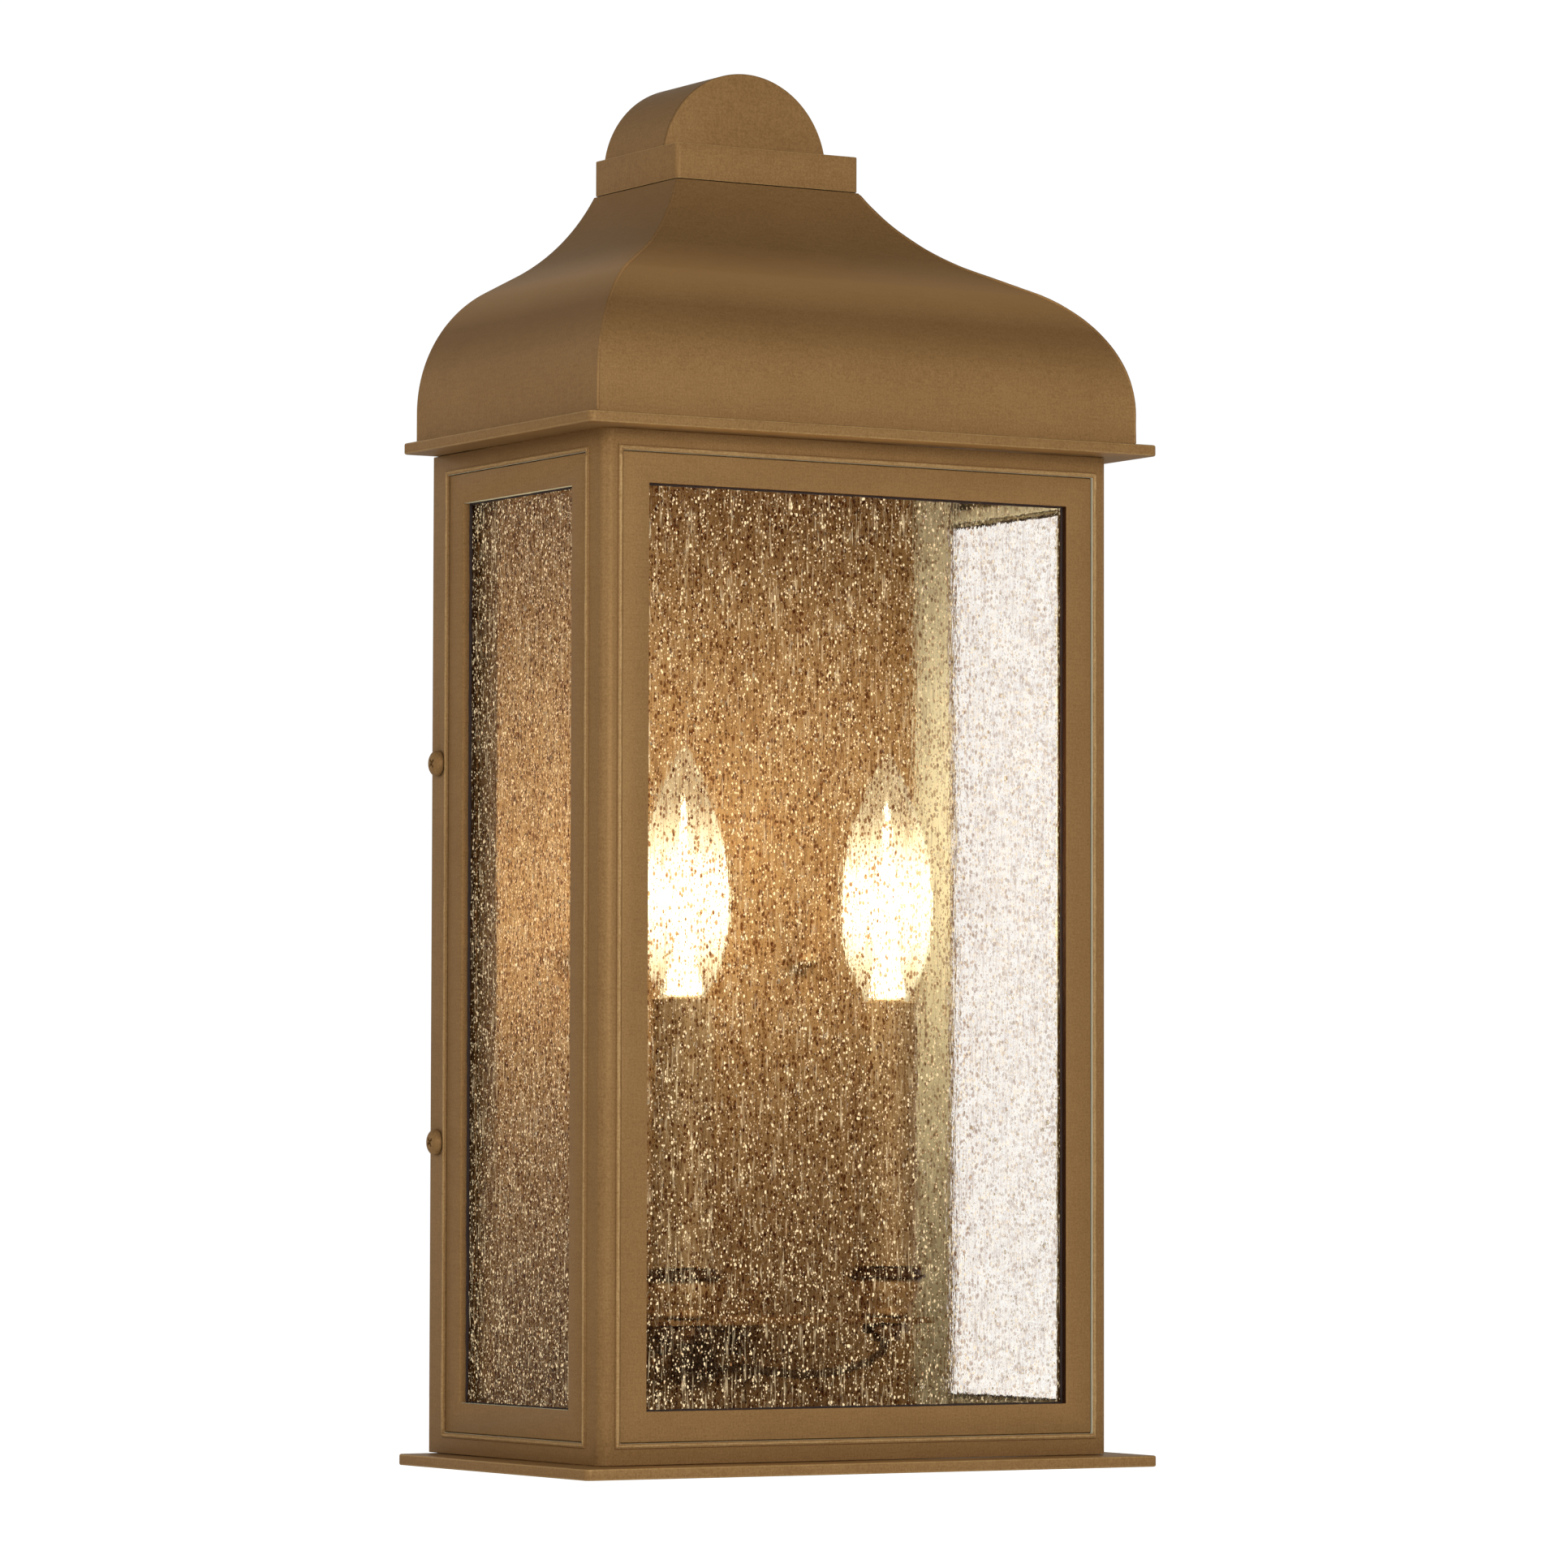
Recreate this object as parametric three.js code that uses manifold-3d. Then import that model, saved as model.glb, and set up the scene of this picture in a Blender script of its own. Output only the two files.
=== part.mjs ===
// Outdoor wall lantern: a sheet-metal cage with three seeded-glass windows and an ogee roof,
// which slides over a wall pan that carries two candle lamps.
// Millimetres. +X is right as seen from the street, +Y points into the wall, +Z is up.
// The origin is on the wall plane, at the middle of the mounting strap's wall-side face,
// which is level with the middle of the cage's height.

import * as THREE from 'three';
import { mergeVertices } from 'three/addons/utils/BufferGeometryUtils.js';
import Module from 'manifold-3d';

const wasm = await Module();
wasm.setup();

// ---------------------------------------------------------------- driving dimensions

const GAP = 0.3;                  // clearance between pieces that touch
const SHEET = 1.2;                // sheet-metal thickness

const BODY_WIDTH = 209.2;         // cage, over its two sides
const BODY_DEPTH = 127.3;         // wall plane to the cage's front face
const BODY_HEIGHT = 360.5;        // between the eave plate and the base plate
const BODY_CORNER = 4;            // bend radius of the two front corners

const PLATE_WIDTH = 235;          // eave plate and base plate
const PLATE_DEPTH = 140.5;
const PLATE_THICK = 4;
const PLATE_CORNER = 2.5;

const WINDOW_HEIGHT = 344;        // window frames, outside
const FRONT_WINDOW_WIDTH = 194;
const SIDE_WINDOW_WIDTH = 101.5;
const SIDE_WINDOW_CENTRE = -63.5; // Y of the side windows' middle
const FRAME_BAR = 10.5;           // visible width of a frame's bars
const FRAME_REVEAL = 3.6;         // frame face to glass
const FRAME_FLANGE = 2.4;         // overlap behind the cage sheet
const LIP_WIDTH = 1.8;            // raised lip around each window opening
const LIP_PROUD = 0.7;
const LIP_ROOT = 0.4;             // how far the lip is sunk into the sheet
const EDGE_GAP = 0.4;             // between a frame and the cage sheet around it

const GLASS_THICK = 3;
const GLASS_OVERLAP = 4.6;        // glass hidden behind the frame on each side

const PANE_CHANNEL = 0.8;         // thickness of the channel around a pane
const RETAINER_LIP = 3.8;         // how far the channel reaches over the pane

const COLLAR_WIDTH = 76.6;
const COLLAR_DEPTH = 61.5;
const COLLAR_HEIGHT = 13.3;
const COLLAR_CORNER = 1.8;

const ROOF_HEIGHT = 95.2;         // eave plate to collar
const ROOF_RISER = 11.3;          // upright foot of the ogee
const ROOF_SHOULDER_R = 51.5;     // convex lower curve
const ROOF_SLOPE = 27.5;          // degrees, flattest stretch of the ogee
const ROOF_STRAIGHT = 14.5;       // length of that stretch
const ROOF_NECK_R = 80;           // concave upper curve

const MITRE_GAP = 0.22;           // clearance on each side of a roof hip, in plan

const DOME_RADIUS = 34.3;
const DOME_HEIGHT = 29.8;
const DOME_DEPTH = 45;

const PAN_DEPTH = 9.9;            // wall plane to the front of the pan
const PAN_RETURN_REACH = 34.5;    // wall plane to the front edge of the pan's side returns
const PAN_RETURN_X = 95.8;        // outer face of the returns, just inside the window channels
const STRAP_LENGTH = 108;
const STRAP_WIDTH = 20;
const STRAP_THICK = 2.5;
const STRAP_CORNER = 4;
const STRAP_SLOT_X = 31;          // slots for the wall box's screws
const STRAP_SLOT_LENGTH = 14;
const STRAP_SLOT_HEIGHT = 5.6;
const STRAP_SLOT_CORNER = 2.7;
const STUD_SPACING = 88;
const STUD_R = 2.1;
const STUD_LENGTH = PAN_DEPTH + 6.8;
const STUD_HOLE_SLACK = 0.5;
const CAP_NUT_HEX_R = 4.9;
const CAP_NUT_HEX_HEIGHT = 4.2;
const CAP_NUT_BORE_DEPTH = 7.4;

const GROUND_SCREW_R = 2;
const GROUND_SCREW_X = 14;
const GROUND_SCREW_HEAD_R = 4;
const GROUND_SCREW_HEAD_HEIGHT = 3;
const WIRE_BUSH_R = 7;
const RIVET_R = 2;
const RIVET_X = 16;

const SIDE_SCREW_Y = -5.4;
const SIDE_SCREW_Z = 68.4;
const SIDE_SCREW_R = 2;
const SIDE_SCREW_HEAD_R = 4.7;
const SIDE_SCREW_HEAD_HEIGHT = 2.9;
const SIDE_SCREW_GRIP = 8;
const SIDE_SLOT_SLACK = 0.4;      // around a side screw in the cage's open slot
const CROSS_ARM = 2.3;            // cross recess: half length, half width, depth
const CROSS_HALF_WIDTH = 0.5;
const CROSS_DEPTH = 1.4;

const LAMP_X = 42.6;              // lamps, left and right of the middle
const LAMP_Y = -75;
const SLEEVE_TOP = -17.2;         // candle sleeve
const SLEEVE_BOTTOM = -113;
const SLEEVE_R = 10.9;
const SLEEVE_WALL = 1.1;
const CUP_TOP = -116;             // turned cup under each candle
const CUP_BOTTOM = -131;
const BRACKET_THICK = 2;
const BRACKET_OVERHANG = 12;      // past each lamp's axis, sideways
const BRACKET_HALF_DEPTH = 11;
const BRACKET_TONGUE = 26;        // half width of the part that reaches back to the pan
const BRACKET_FOOT = 22;          // length of the bend that is riveted to the pan
const BUSH_SLACK = 2.4;           // hole in that bend, around the wire bush
const NIPPLE_R = 4.8;
const NIPPLE_NUT_R = 8.2;
const NIPPLE_NUT_HEIGHT = 3.5;
const SOCKET_R = 8.6;
const SOCKET_BORE = 6.5;
const LEAD_R = 1.6;
const BULB_HEIGHT = 90.5;         // glass envelope
const BULB_GLASS = 0.8;
const BULB_MARKS = [              // [radius, height over the neck] of the flame shape
  [8.1, 0], [8.7, 3], [13.2, 12], [16.1, 26], [16.3, 40], [13.9, 57], [8.9, 72], [4.2, 84], [0.9, 90],
];

const PAST = 1;                   // how far a cutting tool goes past the surface it opens
const PIN_SEGMENTS = 16;          // facets round small pins and their holes

// ---------------------------------------------------------------- derived dimensions

const HALF_BODY = BODY_HEIGHT / 2;
const EAVE_TOP = HALF_BODY + PLATE_THICK;
const COLLAR_BOTTOM = EAVE_TOP + ROOF_HEIGHT;
const COLLAR_TOP = COLLAR_BOTTOM + COLLAR_HEIGHT;
const BRACKET_TOP = CUP_BOTTOM - GAP;
const BRACKET_BOTTOM = BRACKET_TOP - BRACKET_THICK;
const WIRE_HOLE_Z = BRACKET_BOTTOM - 17;
const RIVET_Z = BRACKET_BOTTOM - 9;
const SOCKET_TOP = SLEEVE_TOP - 0.8;
const SOCKET_FLOOR = SOCKET_TOP - 21;
const SOCKET_BOTTOM = SOCKET_TOP - 42;
const ROOF_FOOT = EAVE_TOP + GAP;

// ---------------------------------------------------------------- finishes

function finish(color, roughness, metalness, extra = {}) {
  return new THREE.MeshStandardMaterial({ color, roughness, metalness, ...extra });
}

const BRONZE_GOLD = finish(0x8b6b42, 0.5, 0.7);
const CLEAR_GLASS = finish(0xf2f4ee, 0.08, 0, { transparent: true, opacity: 0.35 });
const LAMP_GLASS = finish(0xfff2d8, 0.12, 0, { transparent: true, opacity: 0.35, emissive: 0xffd9a0 });
const ZINC = finish(0xb9bcbe, 0.38, 0.9);
const GREEN_ZINC = finish(0x2f7d46, 0.5, 0.5);
const BRASS = finish(0xb8924c, 0.32, 0.95);
const BLACK_PLASTIC = finish(0x1b1b1c, 0.55, 0);
const WIRE = finish(0x4a3524, 0.7, 0);
const FILAMENT = finish(0xffe2ae, 0.4, 0, { emissive: 0xffc46b });

// ---------------------------------------------------------------- solids

// A closed geometry with shared vertices and no slivers at a lathe's poles.
function weld(geometry) {
  const bare = geometry.clone();
  bare.deleteAttribute('normal');
  bare.deleteAttribute('uv');
  const merged = mergeVertices(bare, 1e-4);
  const corners = merged.index.array;
  const kept = [];
  for (let i = 0; i < corners.length; i += 3) {
    const [a, b, c] = corners.slice(i, i + 3);
    if (a !== b && b !== c && c !== a) {
      kept.push(a, b, c);
    }
  }
  merged.setIndex(kept);
  return merged;
}

function toSolid(geometry) {
  const welded = weld(geometry);
  const mesh = new wasm.Mesh({
    numProp: 3,
    vertProperties: new Float32Array(welded.attributes.position.array),
    triVerts: new Uint32Array(welded.index.array),
  });
  return new wasm.Manifold(mesh);
}

function toGeometry(solid) {
  const mesh = solid.getMesh();
  const geometry = new THREE.BufferGeometry();
  geometry.setAttribute('position', new THREE.BufferAttribute(mesh.vertProperties, 3));
  geometry.setIndex(new THREE.BufferAttribute(mesh.triVerts, 1));
  return geometry;
}

function join(...geometries) {
  const solids = geometries.map(toSolid);
  return toGeometry(solids.reduce((sum, next) => sum.add(next)));
}

function cut(geometry, ...tools) {
  let solid = toSolid(geometry);
  for (const tool of tools) {
    solid = solid.subtract(toSolid(tool));
  }
  return toGeometry(solid);
}

function common(geometry, tool) {
  return toGeometry(toSolid(geometry).intersect(toSolid(tool)));
}

function box(xMin, xMax, yMin, yMax, zMin, zMax) {
  const geometry = new THREE.BoxGeometry(xMax - xMin, yMax - yMin, zMax - zMin);
  return geometry.translate((xMin + xMax) / 2, (yMin + yMax) / 2, (zMin + zMax) / 2);
}

// A cylinder from one point to another along a main axis.
function rod(radius, axis, from, to, across, segments = 24) {
  const geometry = new THREE.CylinderGeometry(radius, radius, Math.abs(to - from), segments);
  const middle = (from + to) / 2;
  if (axis === 'x') {
    return geometry.rotateZ(Math.PI / 2).translate(middle, across[0], across[1]);
  }
  if (axis === 'y') {
    return geometry.translate(across[0], middle, across[1]);
  }
  return geometry.rotateX(Math.PI / 2).translate(across[0], across[1], middle);
}

// A turned piece about +Z from [radius, z] points, drawn upwards on its outside.
function turned(points, segments = 20) {
  const profile = points.map(([r, z]) => new THREE.Vector2(r, z));
  return new THREE.LatheGeometry(profile, segments).rotateX(Math.PI / 2);
}

// A turned ring: the profile closes on itself.
function turnedRing(points, segments = 20) {
  return turned([...points, points[0]], segments);
}

function extrude(shape, depth, curveSegments = 4) {
  return new THREE.ExtrudeGeometry(shape, { depth, bevelEnabled: false, curveSegments });
}

// A shape drawn in X and Y, raised from one height to another.
function raise(shape, zMin, zMax, curveSegments) {
  return extrude(shape, zMax - zMin, curveSegments).translate(0, 0, zMin);
}

// A shape drawn in X and Z, running from its back at yBack to its front at yFront.
function runForward(shape, yBack, yFront, curveSegments) {
  const turn = new THREE.Matrix4().makeBasis(
    new THREE.Vector3(1, 0, 0),
    new THREE.Vector3(0, 0, 1),
    new THREE.Vector3(0, -1, 0),
  );
  return extrude(shape, yBack - yFront, curveSegments).applyMatrix4(turn).translate(0, yBack, 0);
}

// A shape drawn in Y and Z, running from xMin to xMax.
function runAcross(shape, xMin, xMax, curveSegments) {
  const turn = new THREE.Matrix4().makeBasis(
    new THREE.Vector3(0, 1, 0),
    new THREE.Vector3(0, 0, 1),
    new THREE.Vector3(1, 0, 0),
  );
  return extrude(shape, xMax - xMin, curveSegments).applyMatrix4(turn).translate(xMin, 0, 0);
}

function polygon(points) {
  return new THREE.Shape(points.map(([u, v]) => new THREE.Vector2(u, v)));
}

function roundedRectangle(uMin, uMax, vMin, vMax, radius) {
  const shape = new THREE.Shape();
  shape.moveTo(uMin + radius, vMin);
  shape.lineTo(uMax - radius, vMin);
  shape.absarc(uMax - radius, vMin + radius, radius, -Math.PI / 2, 0);
  shape.lineTo(uMax, vMax - radius);
  shape.absarc(uMax - radius, vMax - radius, radius, 0, Math.PI / 2);
  shape.lineTo(uMin + radius, vMax);
  shape.absarc(uMin + radius, vMax - radius, radius, Math.PI / 2, Math.PI);
  shape.lineTo(uMin, vMin + radius);
  shape.absarc(uMin + radius, vMin + radius, radius, Math.PI, Math.PI * 1.5);
  return shape;
}

// A rectangle's [width, height] with the same margin added on all four sides.
function grown([width, height], margin) {
  return [width + 2 * margin, height + 2 * margin];
}

// A flat rectangular ring around the origin, in X and Z, between two depths.
function windowRing(outer, inner, yBack, yFront) {
  const [w, h] = [outer[0] / 2, outer[1] / 2];
  const [iw, ih] = [inner[0] / 2, inner[1] / 2];
  const shape = polygon([[-w, -h], [w, -h], [w, h], [-w, h]]);
  shape.holes.push(polygon([[-iw, -ih], [-iw, ih], [iw, ih], [iw, -ih]]));
  return runForward(shape, yBack, yFront);
}

function named(name, geometry, material) {
  const mesh = new THREE.Mesh(geometry, material);
  mesh.name = name;
  return mesh;
}

// ---------------------------------------------------------------- roof outline

// The ogee in section: [inset from the eave, height over the eave plate], foot to collar.
function ogee() {
  const slope = THREE.MathUtils.degToRad(ROOF_SLOPE);
  const points = [[0, 0]];
  const shoulderSteps = 10;
  for (let i = 0; i <= shoulderSteps; i += 1) {
    const turn = (Math.PI / 2 - slope) * (i / shoulderSteps);
    points.push([
      ROOF_SHOULDER_R * (1 - Math.cos(turn)),
      ROOF_RISER + ROOF_SHOULDER_R * Math.sin(turn),
    ]);
  }
  const [endInset, endHeight] = points[points.length - 1];
  const startInset = endInset + ROOF_STRAIGHT * Math.cos(slope);
  const startHeight = endHeight + ROOF_STRAIGHT * Math.sin(slope);
  const topSlope = Math.acos(Math.cos(slope) - (ROOF_HEIGHT - startHeight) / ROOF_NECK_R);
  const neckSteps = 7;
  for (let i = 0; i <= neckSteps; i += 1) {
    const angle = slope + (topSlope - slope) * (i / neckSteps);
    points.push([
      startInset + ROOF_NECK_R * (Math.sin(angle) - Math.sin(slope)),
      startHeight + ROOF_NECK_R * (Math.cos(slope) - Math.cos(angle)),
    ]);
  }
  return points;
}

const OGEE = ogee();
const ROOF_RUN = OGEE[OGEE.length - 1][0];
const ROOF_HALF_WIDTH = COLLAR_WIDTH / 2 + ROOF_RUN;
const ROOF_DEPTH = COLLAR_DEPTH + ROOF_RUN;

// The same outline moved inwards, square to itself, by a distance.
function ogeeInside(distance) {
  return OGEE.map(([inset, height], i) => {
    const before = OGEE[Math.max(i - 1, 0)];
    const after = OGEE[Math.min(i + 1, OGEE.length - 1)];
    const length = Math.hypot(after[0] - before[0], after[1] - before[1]);
    const across = (after[1] - before[1]) / length;
    const down = (after[0] - before[0]) / length;
    return [inset + distance * across, height - distance * down];
  });
}

// The section of a roof panel, trimmed level under the collar and over the eave plate.
function roofSheetSection() {
  const inner = ogeeInside(SHEET);
  const [outerTop, innerTop] = [OGEE[OGEE.length - 1], inner[inner.length - 1]];
  const lastOuter = OGEE[OGEE.length - 2];
  const rise = (outerTop[1] - lastOuter[1]) / (outerTop[0] - lastOuter[0]);
  const levelInner = [innerTop[0] + (outerTop[1] - innerTop[1]) / rise, outerTop[1]];
  return [...OGEE, levelInner, ...inner.reverse()];
}

// ---------------------------------------------------------------- wall side

// A shallow tray over the wall, with a return down each side that stands out into the cage.
function wallPan() {
  const w = BODY_WIDTH / 2 - SHEET - GAP;
  const h = HALF_BODY - GAP;
  const root = -PAN_DEPTH + SHEET / 2;
  const inside = PAN_RETURN_X - SHEET;
  const tray = join(
    box(-w, w, -PAN_DEPTH, 0, -h, h),
    box(-PAN_RETURN_X, -inside, -PAN_RETURN_REACH, root, -h, h),
    box(inside, PAN_RETURN_X, -PAN_RETURN_REACH, root, -h, h),
  );
  const hollow = box(-w + SHEET, w - SHEET, -PAN_DEPTH + SHEET, PAST, -h + SHEET, h - SHEET);
  const front = -PAN_DEPTH - PAST;
  const holes = [hollow, rod(WIRE_BUSH_R, 'y', front, PAST, [0, WIRE_HOLE_Z])];
  for (const side of [-1, 1]) {
    const studHole = STUD_R + STUD_HOLE_SLACK;
    holes.push(rod(studHole, 'y', front, PAST, [side * STUD_SPACING / 2, 0], PIN_SEGMENTS));
    holes.push(rod(RIVET_R + GAP, 'y', front, PAST, [side * RIVET_X, RIVET_Z], PIN_SEGMENTS));
    for (const level of [-1, 1]) {
      const [inner, outer] = [side * (w - SHEET - PAST), side * (w + PAST)];
      const across = [SIDE_SCREW_Y, level * SIDE_SCREW_Z];
      holes.push(rod(SIDE_SCREW_R + GAP, 'x', inner, outer, across, PIN_SEGMENTS));
    }
  }
  return cut(tray, ...holes);
}

function mountingStrap() {
  const [l, w] = [STRAP_LENGTH / 2, STRAP_WIDTH / 2];
  const bar = runForward(roundedRectangle(-l, l, -w, w, STRAP_CORNER), 0, -STRAP_THICK);
  const front = -STRAP_THICK - PAST;
  const [slotLength, slotHeight] = [STRAP_SLOT_LENGTH / 2, STRAP_SLOT_HEIGHT / 2];
  const holes = [rod(GROUND_SCREW_R + GAP, 'y', front, PAST, [GROUND_SCREW_X, 0], PIN_SEGMENTS)];
  for (const side of [-1, 1]) {
    const studX = side * STUD_SPACING / 2;
    holes.push(rod(STUD_R + GAP, 'y', front, PAST, [studX, 0], PIN_SEGMENTS));
    const slotX = side * STRAP_SLOT_X;
    const slot = roundedRectangle(
      slotX - slotLength, slotX + slotLength, -slotHeight, slotHeight, STRAP_SLOT_CORNER,
    );
    holes.push(runForward(slot, PAST, front, 2));
  }
  return cut(bar, ...holes);
}

function groundScrew() {
  const seat = -STRAP_THICK - GAP;
  const top = seat - GROUND_SCREW_HEAD_HEIGHT;
  const head = rod(GROUND_SCREW_HEAD_R, 'y', top, seat, [GROUND_SCREW_X, 0], 6);
  const shank = rod(GROUND_SCREW_R, 'y', seat - PAST, -0.4, [GROUND_SCREW_X, 0], PIN_SEGMENTS);
  return join(head, shank);
}

function panStud(side) {
  return rod(STUD_R, 'y', -0.1, -STUD_LENGTH, [side * STUD_SPACING / 2, 0], PIN_SEGMENTS);
}

// A cap nut, drawn about +Z with its seat at the origin and turned to face the street.
function capNut(side) {
  const hex = rod(CAP_NUT_HEX_R, 'z', 0, CAP_NUT_HEX_HEIGHT, [0, 0], 6);
  const dome = turned([[0, 3], [4.1, 3], [4.1, 4.8], [3.4, 7.2], [1.8, 8.6], [0, 9]], 20);
  const bore = rod(STUD_R + GAP, 'z', -PAST, CAP_NUT_BORE_DEPTH, [0, 0], PIN_SEGMENTS);
  const nut = cut(join(hex, dome), bore);
  return nut.rotateX(Math.PI / 2).translate(side * STUD_SPACING / 2, -PAN_DEPTH - GAP, 0);
}

function wireBush() {
  const [flange, wall] = [WIRE_BUSH_R + 1.8, WIRE_BUSH_R - GAP];
  const bore = WIRE_BUSH_R - 1.6;
  const ring = turnedRing([
    [wall, 0], [wall, 2.2], [flange, 2.2], [flange - 0.6, 3.6], [bore + 0.5, 3.6], [bore, 3], [bore, 0],
  ]);
  const front = -PAN_DEPTH + SHEET + GAP + 0.4;
  return ring.rotateX(Math.PI / 2).translate(0, front, WIRE_HOLE_Z);
}

// A shelf with a tongue that reaches back and bends down onto the pan.
function candleBracket() {
  const reach = LAMP_X + BRACKET_OVERHANG;
  const [front, rear] = [LAMP_Y - BRACKET_HALF_DEPTH, LAMP_Y + BRACKET_HALF_DEPTH];
  const back = -PAN_DEPTH - GAP;
  const tongue = BRACKET_TONGUE;
  const outline = polygon([
    [-reach, front], [reach, front], [reach, rear], [tongue, rear],
    [tongue, back], [-tongue, back], [-tongue, rear], [-reach, rear],
  ]);
  const shelf = raise(outline, BRACKET_BOTTOM, BRACKET_TOP);
  const face = back - BRACKET_THICK;
  const foot = box(-tongue, tongue, face, back, BRACKET_BOTTOM - BRACKET_FOOT, BRACKET_TOP);
  const [below, above] = [BRACKET_BOTTOM - PAST, BRACKET_TOP + PAST];
  const holes = [rod(WIRE_BUSH_R + BUSH_SLACK, 'y', face - PAST, back + PAST, [0, WIRE_HOLE_Z])];
  for (const side of [-1, 1]) {
    const across = [side * RIVET_X, RIVET_Z];
    holes.push(rod(NIPPLE_R + GAP, 'z', below, above, [side * LAMP_X, LAMP_Y]));
    holes.push(rod(RIVET_R + GAP, 'y', face - PAST, back + PAST, across, PIN_SEGMENTS));
  }
  return cut(join(shelf, foot), ...holes);
}

function bracketRivet(side) {
  const inside = PAN_DEPTH - SHEET - GAP;
  const seat = PAN_DEPTH + BRACKET_THICK + 2 * GAP;
  const profile = [
    [0, inside - 1.5], [2.8, inside - 1.5], [2.8, inside], [RIVET_R, inside], [RIVET_R, seat],
    [3.8, seat], [3.4, seat + 0.8], [1.9, seat + 1.5], [0, seat + 1.6],
  ];
  return turned(profile, 12).rotateX(Math.PI / 2).translate(side * RIVET_X, 0, RIVET_Z);
}

// ---------------------------------------------------------------- one lamp, about its own axis

function candleSleeve() {
  const inner = SLEEVE_R - SLEEVE_WALL;
  return turnedRing([
    [SLEEVE_R, SLEEVE_BOTTOM], [SLEEVE_R, SLEEVE_TOP - 0.5], [SLEEVE_R - 0.4, SLEEVE_TOP],
    [inner, SLEEVE_TOP], [inner, SLEEVE_BOTTOM],
  ]);
}

// Open above for the bulb, and below for the nipple and the leads.
function lampSocket() {
  const stem = NIPPLE_R + GAP;
  return turned([
    [SOCKET_BORE, SOCKET_FLOOR], [1.2, SOCKET_FLOOR], [1.2, SOCKET_FLOOR - 4], [stem, SOCKET_FLOOR - 4],
    [stem, SOCKET_BOTTOM], [stem + 2, SOCKET_BOTTOM], [stem + 2, SOCKET_BOTTOM + 8],
    [SOCKET_R, SOCKET_BOTTOM + 10], [SOCKET_R, SOCKET_TOP], [SOCKET_BORE, SOCKET_TOP],
    [SOCKET_BORE, SOCKET_FLOOR],
  ]);
}

function lampNipple() {
  const bore = 3.3;
  const top = SOCKET_FLOOR - 8;
  const bottom = BRACKET_BOTTOM - 6.5;
  return turnedRing([[NIPPLE_R, bottom], [NIPPLE_R, top], [bore, top], [bore, bottom]], 20);
}

function nippleNut() {
  const top = BRACKET_BOTTOM - GAP;
  const bottom = top - NIPPLE_NUT_HEIGHT;
  const hex = rod(NIPPLE_NUT_R, 'z', bottom, top, [0, 0], 6);
  return cut(hex, rod(NIPPLE_R + GAP, 'z', bottom - PAST, top + PAST, [0, 0], 20));
}

// A shallow drip ring with a turned vase under it.
function candleCup() {
  const bore = NIPPLE_R + GAP;
  return turnedRing([
    [7.4, CUP_BOTTOM], [8.6, CUP_BOTTOM + 1.2], [8.4, CUP_BOTTOM + 3], [10.2, CUP_BOTTOM + 6],
    [11.6, CUP_BOTTOM + 9.5], [12.3, CUP_TOP - 1.6], [14.2, CUP_TOP - 0.8], [14.2, CUP_TOP + 0.4],
    [12.2, CUP_TOP + 0.4], [12.2, CUP_TOP + 2.6], [11.3, CUP_TOP + 2.6], [11.3, SLEEVE_BOTTOM - 1.4],
    [bore, SLEEVE_BOTTOM - 1.4], [bore, CUP_BOTTOM],
  ]);
}

// Radius of a flame-shaped bulb at a height over its neck.
function bulbOutline() {
  const spline = new THREE.SplineCurve(BULB_MARKS.map(([r, z]) => new THREE.Vector2(r, z)));
  return spline.getPoints(13).map((p) => [p.x, p.y]);
}

// A thin envelope, open at the neck.
function bulbGlass() {
  const base = SLEEVE_TOP + GAP;
  const outline = bulbOutline();
  const outside = outline.map(([r, z]) => [r, base + z]);
  const inside = outline.slice(0, -2).map(([r, z]) => [r - BULB_GLASS, base + z]);
  const innerTip = [0, inside[inside.length - 1][1] + 1.5];
  const tip = [0, base + BULB_HEIGHT];
  return turned([innerTip, ...inside.reverse(), ...outside, tip], 18);
}

// Screw shell with its contact, filling the neck from below.
function bulbCap() {
  const top = SLEEVE_TOP + GAP;
  return turned([
    [0, SOCKET_FLOOR + 0.5], [2, SOCKET_FLOOR + 0.7], [2.4, SOCKET_FLOOR + 2], [5.2, SOCKET_FLOOR + 3.4],
    [6, SOCKET_FLOOR + 4.4], [6, top - 0.6], [6.8, top - 0.3], [6.8, top + 4], [2.6, top + 6], [0, top + 6],
  ], 16);
}

// The glowing stem: a slim support with a spread-out filament cage.
function bulbFilament() {
  const base = SLEEVE_TOP + GAP + 6 + GAP;
  return turned([
    [0, base], [2.2, base], [2.4, base + 8], [1.2, base + 13], [3.2, base + 18], [3.4, base + 44],
    [1.4, base + 50], [0, base + 51],
  ], 12);
}

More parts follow.
